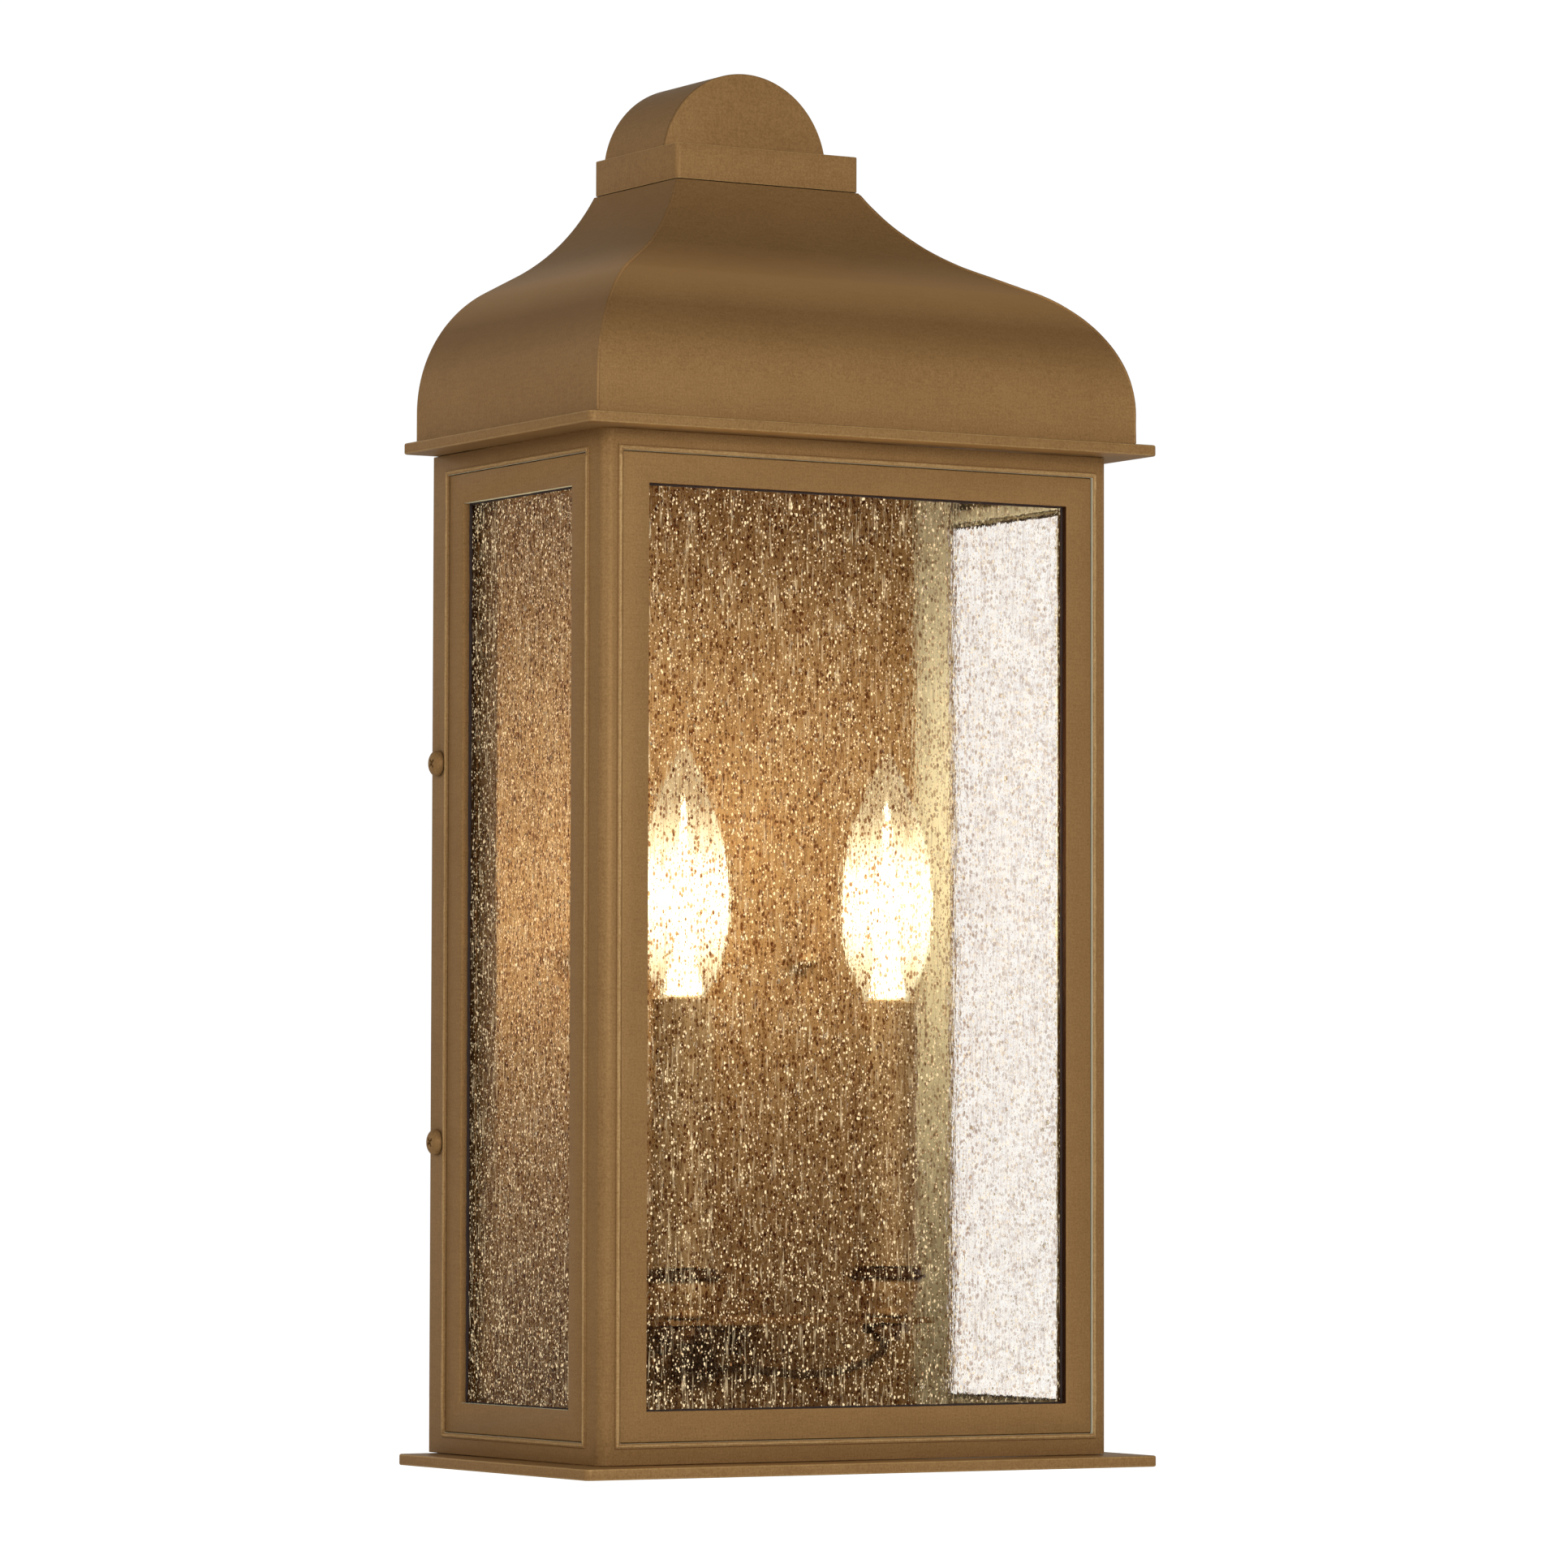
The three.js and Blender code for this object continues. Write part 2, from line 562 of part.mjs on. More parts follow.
// A sleeved pair of leads: up inside the nipple, back over the bracket's foot, through
// the bush and up the hollow behind the pan.
function lampLead(side) {
  const low = BRACKET_BOTTOM - 7;
  const x = side * LAMP_X;
  const near = side * 2.3;
  const route = [
    [x, LAMP_Y, SOCKET_FLOOR - 6], [x, LAMP_Y, SOCKET_FLOOR - 40], [x, LAMP_Y, low + 2],
    [x, LAMP_Y + 5, low - 5], [side * 30, -50, WIRE_HOLE_Z - 2], [side * 12, -30, WIRE_HOLE_Z - 1],
    [near, -18, WIRE_HOLE_Z], [near, -12, WIRE_HOLE_Z], [near, -7, WIRE_HOLE_Z + 1.2],
    [near, -5, WIRE_HOLE_Z + 9], [near, -5, WIRE_HOLE_Z + 50], [near, -5, -24],
  ];
  const points = route.map((p) => new THREE.Vector3(...p));
  const path = new THREE.CatmullRomCurve3(points, false, 'centripetal');
  const section = new THREE.Shape().absarc(0, 0, LEAD_R, 0, Math.PI * 2);
  return new THREE.ExtrudeGeometry(section, { steps: 40, curveSegments: 3, extrudePath: path });
}

// ---------------------------------------------------------------- windows, about their own middle

// Drawn with the street side at y = 0 and the inside towards +Y.
function windowFrame(width) {
  const size = [width, WINDOW_HEIGHT];
  const opening = grown(size, -FRAME_BAR);
  const behind = SHEET + GAP;
  const face = windowRing(size, opening, SHEET, 0);
  const reveal = windowRing(grown(opening, SHEET), opening, FRAME_REVEAL, 0);
  const wall = windowRing(size, grown(size, -SHEET), behind + SHEET, 0);
  const flange = windowRing(grown(size, FRAME_FLANGE), grown(size, -SHEET), behind + SHEET, behind);
  return join(face, reveal, wall, flange);
}

function paneSize(width) {
  return grown([width, WINDOW_HEIGHT], GLASS_OVERLAP - FRAME_BAR);
}

function windowPane(width) {
  const [w, h] = paneSize(width).map((side) => side / 2);
  const front = FRAME_REVEAL + GAP;
  return box(-w, w, front, front + GLASS_THICK, -h, h);
}

// A channel that boxes the pane's edge and holds it against the frame.
function paneRetainer(width) {
  const around = grown(paneSize(width), GAP);
  const back = FRAME_REVEAL + GLASS_THICK + 2 * GAP;
  const outside = grown(around, PANE_CHANNEL);
  const wall = windowRing(outside, around, back + PANE_CHANNEL, SHEET + GAP);
  const lip = windowRing(outside, grown(around, -RETAINER_LIP), back + PANE_CHANNEL, back);
  return join(wall, lip);
}

// ---------------------------------------------------------------- cage

const FRONT_PLACE = [0, -BODY_DEPTH, 0];
const LEFT_PLACE = [-BODY_WIDTH / 2, SIDE_WINDOW_CENTRE, 0];
const RIGHT_PLACE = [BODY_WIDTH / 2, SIDE_WINDOW_CENTRE, 0];

const WINDOWS = [
  { side: 'front', width: FRONT_WINDOW_WIDTH, at: FRONT_PLACE, turn: 0 },
  { side: 'left', width: SIDE_WINDOW_WIDTH, at: LEFT_PLACE, turn: -Math.PI / 2 },
  { side: 'right', width: SIDE_WINDOW_WIDTH, at: RIGHT_PLACE, turn: Math.PI / 2 },
];

function placeAtWindow(geometry, place) {
  return geometry.rotateZ(place.turn).translate(...place.at);
}

// One sheet bent round the two front corners, with a raised lip around each window.
function cageShell() {
  const [w, d, r] = [BODY_WIDTH / 2, -BODY_DEPTH, BODY_CORNER];
  const outline = new THREE.Shape();
  outline.moveTo(-w, 0);
  outline.lineTo(-w, d + r);
  outline.absarc(-w + r, d + r, r, Math.PI, Math.PI * 1.5);
  outline.lineTo(w - r, d);
  outline.absarc(w - r, d + r, r, -Math.PI / 2, 0);
  outline.lineTo(w, 0);
  outline.lineTo(w - SHEET, 0);
  outline.lineTo(w - SHEET, d + r);
  outline.absarc(w - r, d + r, r - SHEET, 0, -Math.PI / 2, true);
  outline.lineTo(-w + r, d + SHEET);
  outline.absarc(-w + r, d + r, r - SHEET, -Math.PI / 2, -Math.PI, true);
  outline.lineTo(-w + SHEET, 0);
  let shell = raise(outline, -HALF_BODY + GAP, HALF_BODY - GAP);
  for (const place of WINDOWS) {
    const size = grown([place.width, WINDOW_HEIGHT], EDGE_GAP);
    const [w2, h2] = [size[0] / 2, size[1] / 2];
    const lip = windowRing(grown(size, LIP_WIDTH), size, LIP_ROOT, -LIP_PROUD);
    const opening = box(-w2, w2, -5, 5, -h2, h2);
    shell = join(cut(shell, placeAtWindow(opening, place)), placeAtWindow(lip, place));
  }
  const slots = [];
  for (const side of [-1, 1]) {
    for (const level of [-1, 1]) {
      const reach = SIDE_SCREW_R + SIDE_SLOT_SLACK;
      const z = level * SIDE_SCREW_Z;
      const middle = side * (w - SHEET / 2);
      const [low, high] = [middle - SHEET / 2 - PAST, middle + SHEET / 2 + PAST];
      slots.push(rod(reach, 'x', low, high, [SIDE_SCREW_Y, z], PIN_SEGMENTS));
      slots.push(box(low, high, SIDE_SCREW_Y, PAST, z - reach, z + reach));
    }
  }
  return cut(shell, ...slots);
}

function plate(zMin, zMax) {
  const [w, d] = [PLATE_WIDTH / 2, PLATE_DEPTH];
  return raise(roundedRectangle(-w, w, -d, 0, PLATE_CORNER), zMin, zMax, 4);
}

function sectionAt(startInset, sign) {
  return roofSheetSection().map(([inset, height]) => [
    sign * (startInset - inset),
    Math.max(EAVE_TOP + height, ROOF_FOOT),
  ]);
}

function tidySection(points) {
  return points.filter(([u, v], i) => {
    const [pu, pv] = points[(i + points.length - 1) % points.length];
    return Math.hypot(u - pu, v - pv) > 0.05;
  });
}

// Everything in front of the two hips, in plan.
function roofFront() {
  const section = polygon(tidySection(sectionAt(ROOF_DEPTH, -1)));
  const sheet = runAcross(section, -ROOF_HALF_WIDTH - 5, ROOF_HALF_WIDTH + 5);
  const [far, near] = [ROOF_RUN + 10, -10];
  const half = COLLAR_WIDTH / 2 - MITRE_GAP;
  const wedge = polygon([
    [-half - far, -COLLAR_DEPTH - far], [half + far, -COLLAR_DEPTH - far],
    [half + near, -COLLAR_DEPTH - near], [-half - near, -COLLAR_DEPTH - near],
  ]);
  return common(sheet, raise(wedge, EAVE_TOP - 5, COLLAR_TOP));
}

// Everything beside one hip, in plan.
function roofSide(side) {
  const section = polygon(tidySection(sectionAt(ROOF_HALF_WIDTH, 1)));
  const sheet = runForward(section, 0, -ROOF_DEPTH - 5);
  const [far, near] = [ROOF_RUN + 10, -10];
  const half = COLLAR_WIDTH / 2 + MITRE_GAP;
  const wedge = polygon([
    [half + near, 1], [half + near, -COLLAR_DEPTH - near], [half + far, -COLLAR_DEPTH - far],
    [half + far, 1],
  ]);
  const panel = common(sheet, raise(wedge, EAVE_TOP - 5, COLLAR_TOP));
  return side > 0 ? panel : mirrored(panel);
}

// The same piece on the other side of the middle plane.
function mirrored(geometry) {
  const copy = geometry.clone().scale(-1, 1, 1);
  const corners = Array.from(copy.index.array);
  for (let i = 0; i < corners.length; i += 3) {
    [corners[i], corners[i + 1]] = [corners[i + 1], corners[i]];
  }
  copy.setIndex(corners);
  return copy;
}

// A flat plate that closes the roof at the wall, inside the side panels.
function roofBack() {
  const inner = ogeeInside(SHEET + GAP);
  const right = inner.map(([inset, height]) => [
    ROOF_HALF_WIDTH - inset,
    Math.min(Math.max(EAVE_TOP + height, ROOF_FOOT), COLLAR_BOTTOM - GAP),
  ]);
  const left = right.map(([x, z]) => [-x, z]).reverse();
  return runForward(polygon(tidySection([...right, ...left])), 0, -SHEET);
}

function collar() {
  const [w, d] = [COLLAR_WIDTH / 2, COLLAR_DEPTH];
  const [low, high] = [COLLAR_BOTTOM + GAP, COLLAR_TOP];
  const block = raise(roundedRectangle(-w, w, -d, 0, COLLAR_CORNER), low, high, 4);
  const hollow = box(-w + SHEET, w - SHEET, -d + SHEET, -SHEET, low - 1, high - SHEET);
  return cut(block, hollow);
}

// The dome's outline in X and Z, a little less than half a circle.
function domeOutline(radius) {
  const centre = DOME_HEIGHT - DOME_RADIUS;
  const foot = Math.asin((GAP - centre) / radius);
  const steps = 24;
  const points = [];
  for (let i = 0; i <= steps; i += 1) {
    const angle = foot + (Math.PI - 2 * foot) * (i / steps);
    points.push([radius * Math.cos(angle), COLLAR_TOP + centre + radius * Math.sin(angle)]);
  }
  return points;
}

function domeBarrel() {
  const band = [...domeOutline(DOME_RADIUS), ...domeOutline(DOME_RADIUS - SHEET).reverse()];
  return runForward(polygon(band), 0, -DOME_DEPTH + SHEET + GAP);
}

function domeFace() {
  return runForward(polygon(domeOutline(DOME_RADIUS)), -DOME_DEPTH + SHEET, -DOME_DEPTH);
}

// A pan-head screw with a cross recess, drawn about +Z with its head's seat at the origin.
function sideScrew(side, level) {
  const [r, h] = [SIDE_SCREW_HEAD_R, SIDE_SCREW_HEAD_HEIGHT];
  const body = turned([
    [0, -SIDE_SCREW_GRIP], [SIDE_SCREW_R, -SIDE_SCREW_GRIP], [SIDE_SCREW_R, 0], [r, 0],
    [r, h * 0.3], [r * 0.93, h * 0.6], [r * 0.7, h * 0.88], [r * 0.36, h], [0, h],
  ], 20);
  const [arm, slot] = [CROSS_ARM, CROSS_HALF_WIDTH];
  const [floor, above] = [h - CROSS_DEPTH, h + PAST];
  const crossbar = box(-arm, arm, -slot, slot, floor, above);
  const upright = box(-slot, slot, -arm, arm, floor, above);
  const screw = cut(body, crossbar, upright).rotateZ(Math.PI / 5).rotateY(side * Math.PI / 2);
  const seat = BODY_WIDTH / 2 + GAP;
  return screw.translate(side * seat, SIDE_SCREW_Y, level * SIDE_SCREW_Z);
}

// ---------------------------------------------------------------- assembly

const lantern = new THREE.Group();

const SIDES = [['left', -1], ['right', 1]];
const LEVELS = [['lower', -1], ['upper', 1]];

lantern.add(
  named('wall_pan', wallPan(), BRONZE_GOLD),
  named('mounting_strap', mountingStrap(), ZINC),
  named('ground_screw', groundScrew(), GREEN_ZINC),
  named('wire_bush', wireBush(), BLACK_PLASTIC),
  named('candle_bracket', candleBracket(), BRONZE_GOLD),
);

for (const [word, side] of SIDES) {
  const lamp = new THREE.Group();
  lamp.position.set(side * LAMP_X, LAMP_Y, 0);
  lamp.add(
    named(`candle_sleeve_${word}`, candleSleeve(), BRONZE_GOLD),
    named(`candle_cup_${word}`, candleCup(), BRONZE_GOLD),
    named(`lamp_socket_${word}`, lampSocket(), BLACK_PLASTIC),
    named(`lamp_nipple_${word}`, lampNipple(), ZINC),
    named(`nipple_nut_${word}`, nippleNut(), ZINC),
    named(`bulb_cap_${word}`, bulbCap(), BRASS),
    named(`bulb_glass_${word}`, bulbGlass(), LAMP_GLASS),
    named(`bulb_filament_${word}`, bulbFilament(), FILAMENT),
  );
  lantern.add(
    lamp,
    named(`pan_stud_${word}`, panStud(side), ZINC),
    named(`cap_nut_${word}`, capNut(side), BRONZE_GOLD),
    named(`bracket_rivet_${word}`, bracketRivet(side), ZINC),
    named(`lamp_lead_${word}`, lampLead(side), WIRE),
    named(`roof_${word}`, roofSide(side), BRONZE_GOLD),
  );
  for (const [height, level] of LEVELS) {
    lantern.add(named(`side_screw_${word}_${height}`, sideScrew(side, level), BRONZE_GOLD));
  }
}

for (const place of WINDOWS) {
  const opening = new THREE.Group();
  opening.position.set(...place.at);
  opening.rotation.z = place.turn;
  opening.add(
    named(`window_frame_${place.side}`, windowFrame(place.width), BRONZE_GOLD),
    named(`window_glass_${place.side}`, windowPane(place.width), CLEAR_GLASS),
    named(`glass_retainer_${place.side}`, paneRetainer(place.width), BRONZE_GOLD),
  );
  lantern.add(opening);
}

lantern.add(
  named('cage_shell', cageShell(), BRONZE_GOLD),
  named('eave_plate', plate(HALF_BODY, EAVE_TOP), BRONZE_GOLD),
  named('base_plate', plate(-EAVE_TOP, -HALF_BODY), BRONZE_GOLD),
  named('roof_front', roofFront(), BRONZE_GOLD),
  named('roof_back', roofBack(), BRONZE_GOLD),
  named('roof_collar', collar(), BRONZE_GOLD),
  named('dome_barrel', domeBarrel(), BRONZE_GOLD),
  named('dome_face', domeFace(), BRONZE_GOLD),
);

export default lantern;
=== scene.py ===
import math

import bmesh
import bpy
import numpy as np
from mathutils import Matrix, Vector


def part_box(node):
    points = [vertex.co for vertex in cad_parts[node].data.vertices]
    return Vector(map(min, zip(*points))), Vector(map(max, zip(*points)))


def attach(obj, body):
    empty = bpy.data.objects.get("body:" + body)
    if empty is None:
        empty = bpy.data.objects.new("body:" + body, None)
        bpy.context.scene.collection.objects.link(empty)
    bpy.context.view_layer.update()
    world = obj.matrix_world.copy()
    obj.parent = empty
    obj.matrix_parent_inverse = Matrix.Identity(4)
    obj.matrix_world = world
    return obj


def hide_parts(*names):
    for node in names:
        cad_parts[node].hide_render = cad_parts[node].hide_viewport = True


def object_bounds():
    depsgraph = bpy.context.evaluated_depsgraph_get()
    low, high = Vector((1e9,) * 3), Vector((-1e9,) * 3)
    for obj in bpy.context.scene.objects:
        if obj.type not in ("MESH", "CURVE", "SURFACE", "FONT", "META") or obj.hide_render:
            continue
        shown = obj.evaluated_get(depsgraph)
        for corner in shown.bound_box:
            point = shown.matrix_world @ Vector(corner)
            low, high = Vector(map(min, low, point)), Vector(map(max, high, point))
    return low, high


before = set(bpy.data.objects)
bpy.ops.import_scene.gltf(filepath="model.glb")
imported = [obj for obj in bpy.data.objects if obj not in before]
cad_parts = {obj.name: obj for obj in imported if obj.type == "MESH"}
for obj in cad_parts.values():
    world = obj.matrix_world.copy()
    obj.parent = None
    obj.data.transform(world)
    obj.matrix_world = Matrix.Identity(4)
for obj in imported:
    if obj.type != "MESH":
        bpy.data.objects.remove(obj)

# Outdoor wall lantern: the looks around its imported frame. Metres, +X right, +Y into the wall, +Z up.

MM = 0.001
cad_box = [list(corner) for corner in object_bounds()]

# ---------------------------------------------------------------- sizes that part.mjs also uses

GAP = 0.3 * MM
SHEET = 1.2 * MM
ROOF_HEIGHT = 95.2 * MM
ROOF_RISER = 11.3 * MM
ROOF_SHOULDER_R = 51.5 * MM
ROOF_SLOPE = math.radians(27.5)
ROOF_STRAIGHT = 14.5 * MM
ROOF_NECK_R = 80 * MM
DOME_RADIUS = 34.3 * MM
DOME_HEIGHT = 29.8 * MM
LAMP_X = 42.6 * MM
LAMP_Y = -75 * MM
SLEEVE_TOP = -17.2 * MM
SLEEVE_BOTTOM = -113 * MM
CUP_BOTTOM = -131 * MM
BULB_HEIGHT = 90.5 * MM
BULB_WALL = 0.8 * MM
BULB_MARKS = (
    (8.1, 0), (8.7, 3), (13.2, 12), (16.1, 26), (16.3, 40), (13.9, 57), (8.9, 72), (4.2, 84), (0.9, 90),
)
FILAMENT_Z = 18.3 * MM
EAVE_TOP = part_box("eave_plate")[1].z
FRAME_FLANGE = 2.4 * MM
FRAME_BAR = 10.5 * MM
WINDOW_LIP = 1.3 * MM
SCREW_HEAD_R = 4.7 * MM
SCREW_HEAD_HEIGHT = 2.9 * MM
SCREW_GRIP = 8 * MM

# ---------------------------------------------------------------- camera

CAMERA_PLACE = Vector((-1.28775, -2.24808, -0.06991))
CAMERA_AZIMUTH = math.radians(-30.635)
CAMERA_PITCH = math.radians(2.965)
CAMERA_ROLL = math.radians(0.134)
CAMERA_LENS = 161.02

FLOOR_DROP = 0.30


def make_camera():
    a, e, r = CAMERA_AZIMUTH, CAMERA_PITCH, CAMERA_ROLL
    forward = Vector((-math.sin(a) * math.cos(e), math.cos(a) * math.cos(e), math.sin(e)))
    right = Vector((math.cos(a), math.sin(a), 0))
    up = right.cross(forward)
    across = math.cos(r) * right + math.sin(r) * up
    upright = -math.sin(r) * right + math.cos(r) * up
    data = bpy.data.cameras.new("camera")
    data.sensor_width = 36
    data.lens = CAMERA_LENS
    data.clip_start, data.clip_end = 0.05, 50
    camera = bpy.data.objects.new("camera", data)
    bpy.context.scene.collection.objects.link(camera)
    turn = Matrix((across, upright, -forward)).transposed()
    camera.matrix_world = Matrix.Translation(CAMERA_PLACE) @ turn.to_4x4()
    bpy.context.scene.camera = camera


# ---------------------------------------------------------------- node helpers


class Nodes:
    """A short way to lay out one material's nodes."""

    def __init__(self, name):
        self.material = bpy.data.materials.new(name)
        self.material.use_nodes = True
        self.tree = self.material.node_tree
        self.tree.nodes.clear()
        self.out = self.add("ShaderNodeOutputMaterial")

    def add(self, kind, sets=None, **links):
        node = self.tree.nodes.new(kind)
        for key, value in (sets or {}).items():
            setattr(node, key, value)
        for key, value in links.items():
            self.give(node, key, value)
        return node

    def give(self, node, key, value):
        socket = node.inputs[int(key[1:])] if key[0] == "_" else node.inputs[key.replace("_", " ")]
        if isinstance(value, bpy.types.NodeSocket):
            self.tree.links.new(value, socket)
        else:
            socket.default_value = value

    def place(self, scale=(1, 1, 1)):
        coords = self.add("ShaderNodeTexCoord").outputs["Object"]
        return self.add("ShaderNodeMapping", Vector=coords, Scale=scale).outputs[0]

    def noise(self, where, scale, detail=2.0, rough=0.5):
        node = self.add("ShaderNodeTexNoise", Vector=where, Scale=scale, Detail=detail, Roughness=rough)
        return node.outputs["Fac"]

    def between(self, value, low, high, to_low=0.0, to_high=1.0):
        node = self.add("ShaderNodeMapRange", _0=value, _1=low, _2=high, _3=to_low, _4=to_high)
        return node.outputs[0]

    def maths(self, operation, a, b=0.0):
        return self.add("ShaderNodeMath", {"operation": operation}, _0=a, _1=b).outputs[0]

    def blend(self, factor, a, b):
        node = self.add("ShaderNodeMix", {"data_type": "RGBA"}, _0=factor, _6=a, _7=b)
        return node.outputs[2]

    def bump(self, height, distance, strength=1.0, normal=None):
        links = {"Height": height, "Distance": distance, "Strength": strength}
        if normal is not None:
            links["Normal"] = normal
        return self.add("ShaderNodeBump", **links).outputs[0]

    def show(self, shader):
        self.tree.links.new(shader, self.out.inputs["Surface"])
        return self.material


def rgb(r, g, b):
    return (r, g, b, 1.0)


# ---------------------------------------------------------------- materials

BRONZE_GOLD = (0.315, 0.180, 0.070)
DEEP_BRONZE_GOLD = (0.220, 0.117, 0.042)
# Painted lamplight: the cream put on faces that look in towards the lamps.
LAMPLIT_CREAM = (0.76, 0.75, 0.56)
# Painted shade for the front window's reveal and retainer faces that look inwards.
PAINTED_REVEAL_SHADE = (0.035, 0.014, 0.006)
# Heights over the eave plate of the roof's painted shade on the bulge and of its painted highlight strip.
BULGE_LIFT = 38 * MM
STRIP_LIFT = 55 * MM
PANE_HAZE = 0.01
# Strengths of the panes' painted shade specks and painted glints.
SEED_SHADE = 0.95
SEED_GLINT = 0.92


def facing_inwards(n, axis, start, end):
    """1 on faces that look towards the middle of the lantern along one axis, from far enough out."""
    place = n.add("ShaderNodeSeparateXYZ", Vector=n.place()).outputs[axis]
    normal = n.add("ShaderNodeNewGeometry").outputs["Normal"]
    turned = n.add("ShaderNodeSeparateXYZ", Vector=normal).outputs[axis]
    return n.between(n.maths("MULTIPLY", place, turned), -start, -end, 1.0, 0.0)


def paint_roof_light_and_shade(n, colour, base, deep):
    """Painted shade over the bulge and the neck of the roof, and a painted highlight strip between them, set
    by height.
    """
    height = n.add("ShaderNodeSeparateXYZ", Vector=n.place()).outputs["Z"]
    lift = n.maths("SUBTRACT", height, EAVE_TOP)
    bulge = n.maths("ABSOLUTE", n.maths("SUBTRACT", lift, BULGE_LIFT))
    low = n.between(bulge, 14 * MM, 2 * MM, 0.0, 0.45)
    strip = n.maths("ABSOLUTE", n.maths("SUBTRACT", lift, STRIP_LIFT))
    band = n.between(strip, 14 * MM, 0, 0.0, 0.62)
    neck = n.between(lift, 60 * MM, 74 * MM, 0.0, 0.3)
    dark = n.maths("ADD", low, neck)
    colour = n.blend(dark, colour, rgb(deep[0] * 0.8, deep[1] * 0.74, deep[2] * 0.7))
    return n.blend(band, colour, rgb(base[0] * 1.6, base[1] * 1.55, base[2] * 1.5))


def painted_metal(
    name, base, deep, roughness=0.46, metallic=0.3, grain=1.0, inner=None, rim=None, painted_roof_shading=False
):
    """Satin bronze-gold paint: fine sprayed grain over faint brushed threads, with soft mottling. Where asked
    it also carries painted light and shade: a colour on inward faces, a shade band on a cup rim, and the
    roof's bands.
    """
    n = Nodes(name)
    here = n.place()
    mottle = n.noise(here, 38, 3, 0.55)
    grit = n.noise(here, 1500, 2, 0.6)
    warp = n.noise(n.place((1, 1, 0.12)), 1500, 1)
    weft = n.noise(n.place((0.1, 0.1, 1)), 1500, 1)
    threads = n.maths("ADD", warp, weft)
    tone = n.maths("ADD", n.between(mottle, 0.3, 0.7, -0.09, 0.09), n.between(grit, 0.3, 0.7, 0.05, 0.95))
    tone = n.maths("ADD", tone, n.between(threads, 0.7, 1.3, -0.16, 0.16))
    colour = n.blend(tone, rgb(*deep), rgb(*base))
    # Inward faces in front of the pan take the colour given as inner: painted lamplight cream on the walls
    # and pan, painted shade on the front frame's reveal.
    if inner is not None:
        sideways = facing_inwards(n, "X", 80 * MM, 50 * MM)
        upright = facing_inwards(n, "Z", 158 * MM, 140 * MM)
        depth = n.add("ShaderNodeSeparateXYZ", Vector=n.place()).outputs["Y"]
        before_pan = n.between(depth, -8 * MM, -10 * MM)
        share = n.maths("MULTIPLY", n.maths("MAXIMUM", sideways, upright), before_pan)
        colour = n.blend(share, colour, rgb(*inner))
    # Painted shade: a dark band on the cup's top rim, where the sleeve meets the cup.
    if rim is not None:
        height = n.add("ShaderNodeSeparateXYZ", Vector=n.place()).outputs["Z"]
        rim_shade_mask = n.between(height, CUP_BOTTOM + 12 * MM, CUP_BOTTOM + 14 * MM)
        colour = n.blend(rim_shade_mask, colour, rgb(*rim))
    # The roof's light and shade painted in by height: a darker bulge and neck, and a lighter strip.
    if painted_roof_shading:
        colour = paint_roof_light_and_shade(n, colour, base, deep)
    height = n.maths("ADD", grit, n.maths("MULTIPLY", threads, 0.5))
    normal = n.bump(height, 0.035 * MM, 0.45 * grain)
    shader = n.add(
        "ShaderNodeBsdfPrincipled",
        Base_Color=colour,
        Metallic=metallic,
        IOR=1.3,
        Specular_IOR_Level=0.1,
        Roughness=n.between(grit, 0.3, 0.7, roughness - 0.06, roughness + 0.08),
        Normal=normal,
    )
    return n.show(shader.outputs[0])


def plain_metal(name, colour, dark, roughness, scratch=(1, 1, 0.05)):
    """Bare or plated metal with fine lines along the piece."""
    n = Nodes(name)
    lines = n.noise(n.place(scratch), 2600, 2)
    cloud = n.noise(n.place(), 160, 2)
    tone = n.maths("ADD", n.between(lines, 0.3, 0.7, 0.1, 0.6), n.between(cloud, 0.3, 0.7, 0.0, 0.4))
    shader = n.add(
        "ShaderNodeBsdfPrincipled",
        Base_Color=n.blend(tone, rgb(*dark), rgb(*colour)),
        Metallic=1.0,
        Roughness=n.between(lines, 0.3, 0.7, roughness - 0.05, roughness + 0.1),
        Normal=n.bump(lines, 0.02 * MM, 0.3),
    )
    return n.show(shader.outputs[0])


def dull(name, colour, dark, roughness, scale, depth):
    """A moulded or woven non-metal with its own grain."""
    n = Nodes(name)
    grain = n.noise(n.place(), scale, 3, 0.6)
    shader = n.add(
        "ShaderNodeBsdfPrincipled",
        Base_Color=n.blend(n.between(grain, 0.3, 0.7), rgb(*dark), rgb(*colour)),
        Roughness=n.between(grain, 0.3, 0.7, roughness - 0.05, roughness + 0.08),
        Normal=n.bump(grain, depth, 0.5),
    )
    return n.show(shader.outputs[0])


def lets_light_by(n, glass):
    """The glass as seen, with a clear way through for lamps and for soft light."""
    path = n.add("ShaderNodeLightPath")
    passing = n.maths("MAXIMUM", path.outputs["Is Shadow Ray"], path.outputs["Is Diffuse Ray"])
    clear = n.add("ShaderNodeBsdfTransparent", Color=rgb(0.74, 0.68, 0.58))
    return n.show(n.add("ShaderNodeMixShader", _0=passing, _1=glass, _2=clear.outputs[0]).outputs[0])


def seeds_in_skin(n, scale, offset, low, size):
    """A mask of small upright seeds: a cell's own colour says whether it has one and how big it is."""
    where = n.add("ShaderNodeMapping", Vector=n.place(), Location=offset, Scale=(1, 1, 0.62)).outputs[0]
    cells = n.add("ShaderNodeTexVoronoi", Vector=where, Scale=scale)
    luck = n.add("ShaderNodeSeparateColor", Color=cells.outputs["Color"]).outputs[0]
    reach = n.between(luck, low, 1.0, 0.0, size)
    return n.between(n.maths("SUBTRACT", reach, cells.outputs["Distance"]), 0.0, 0.09)


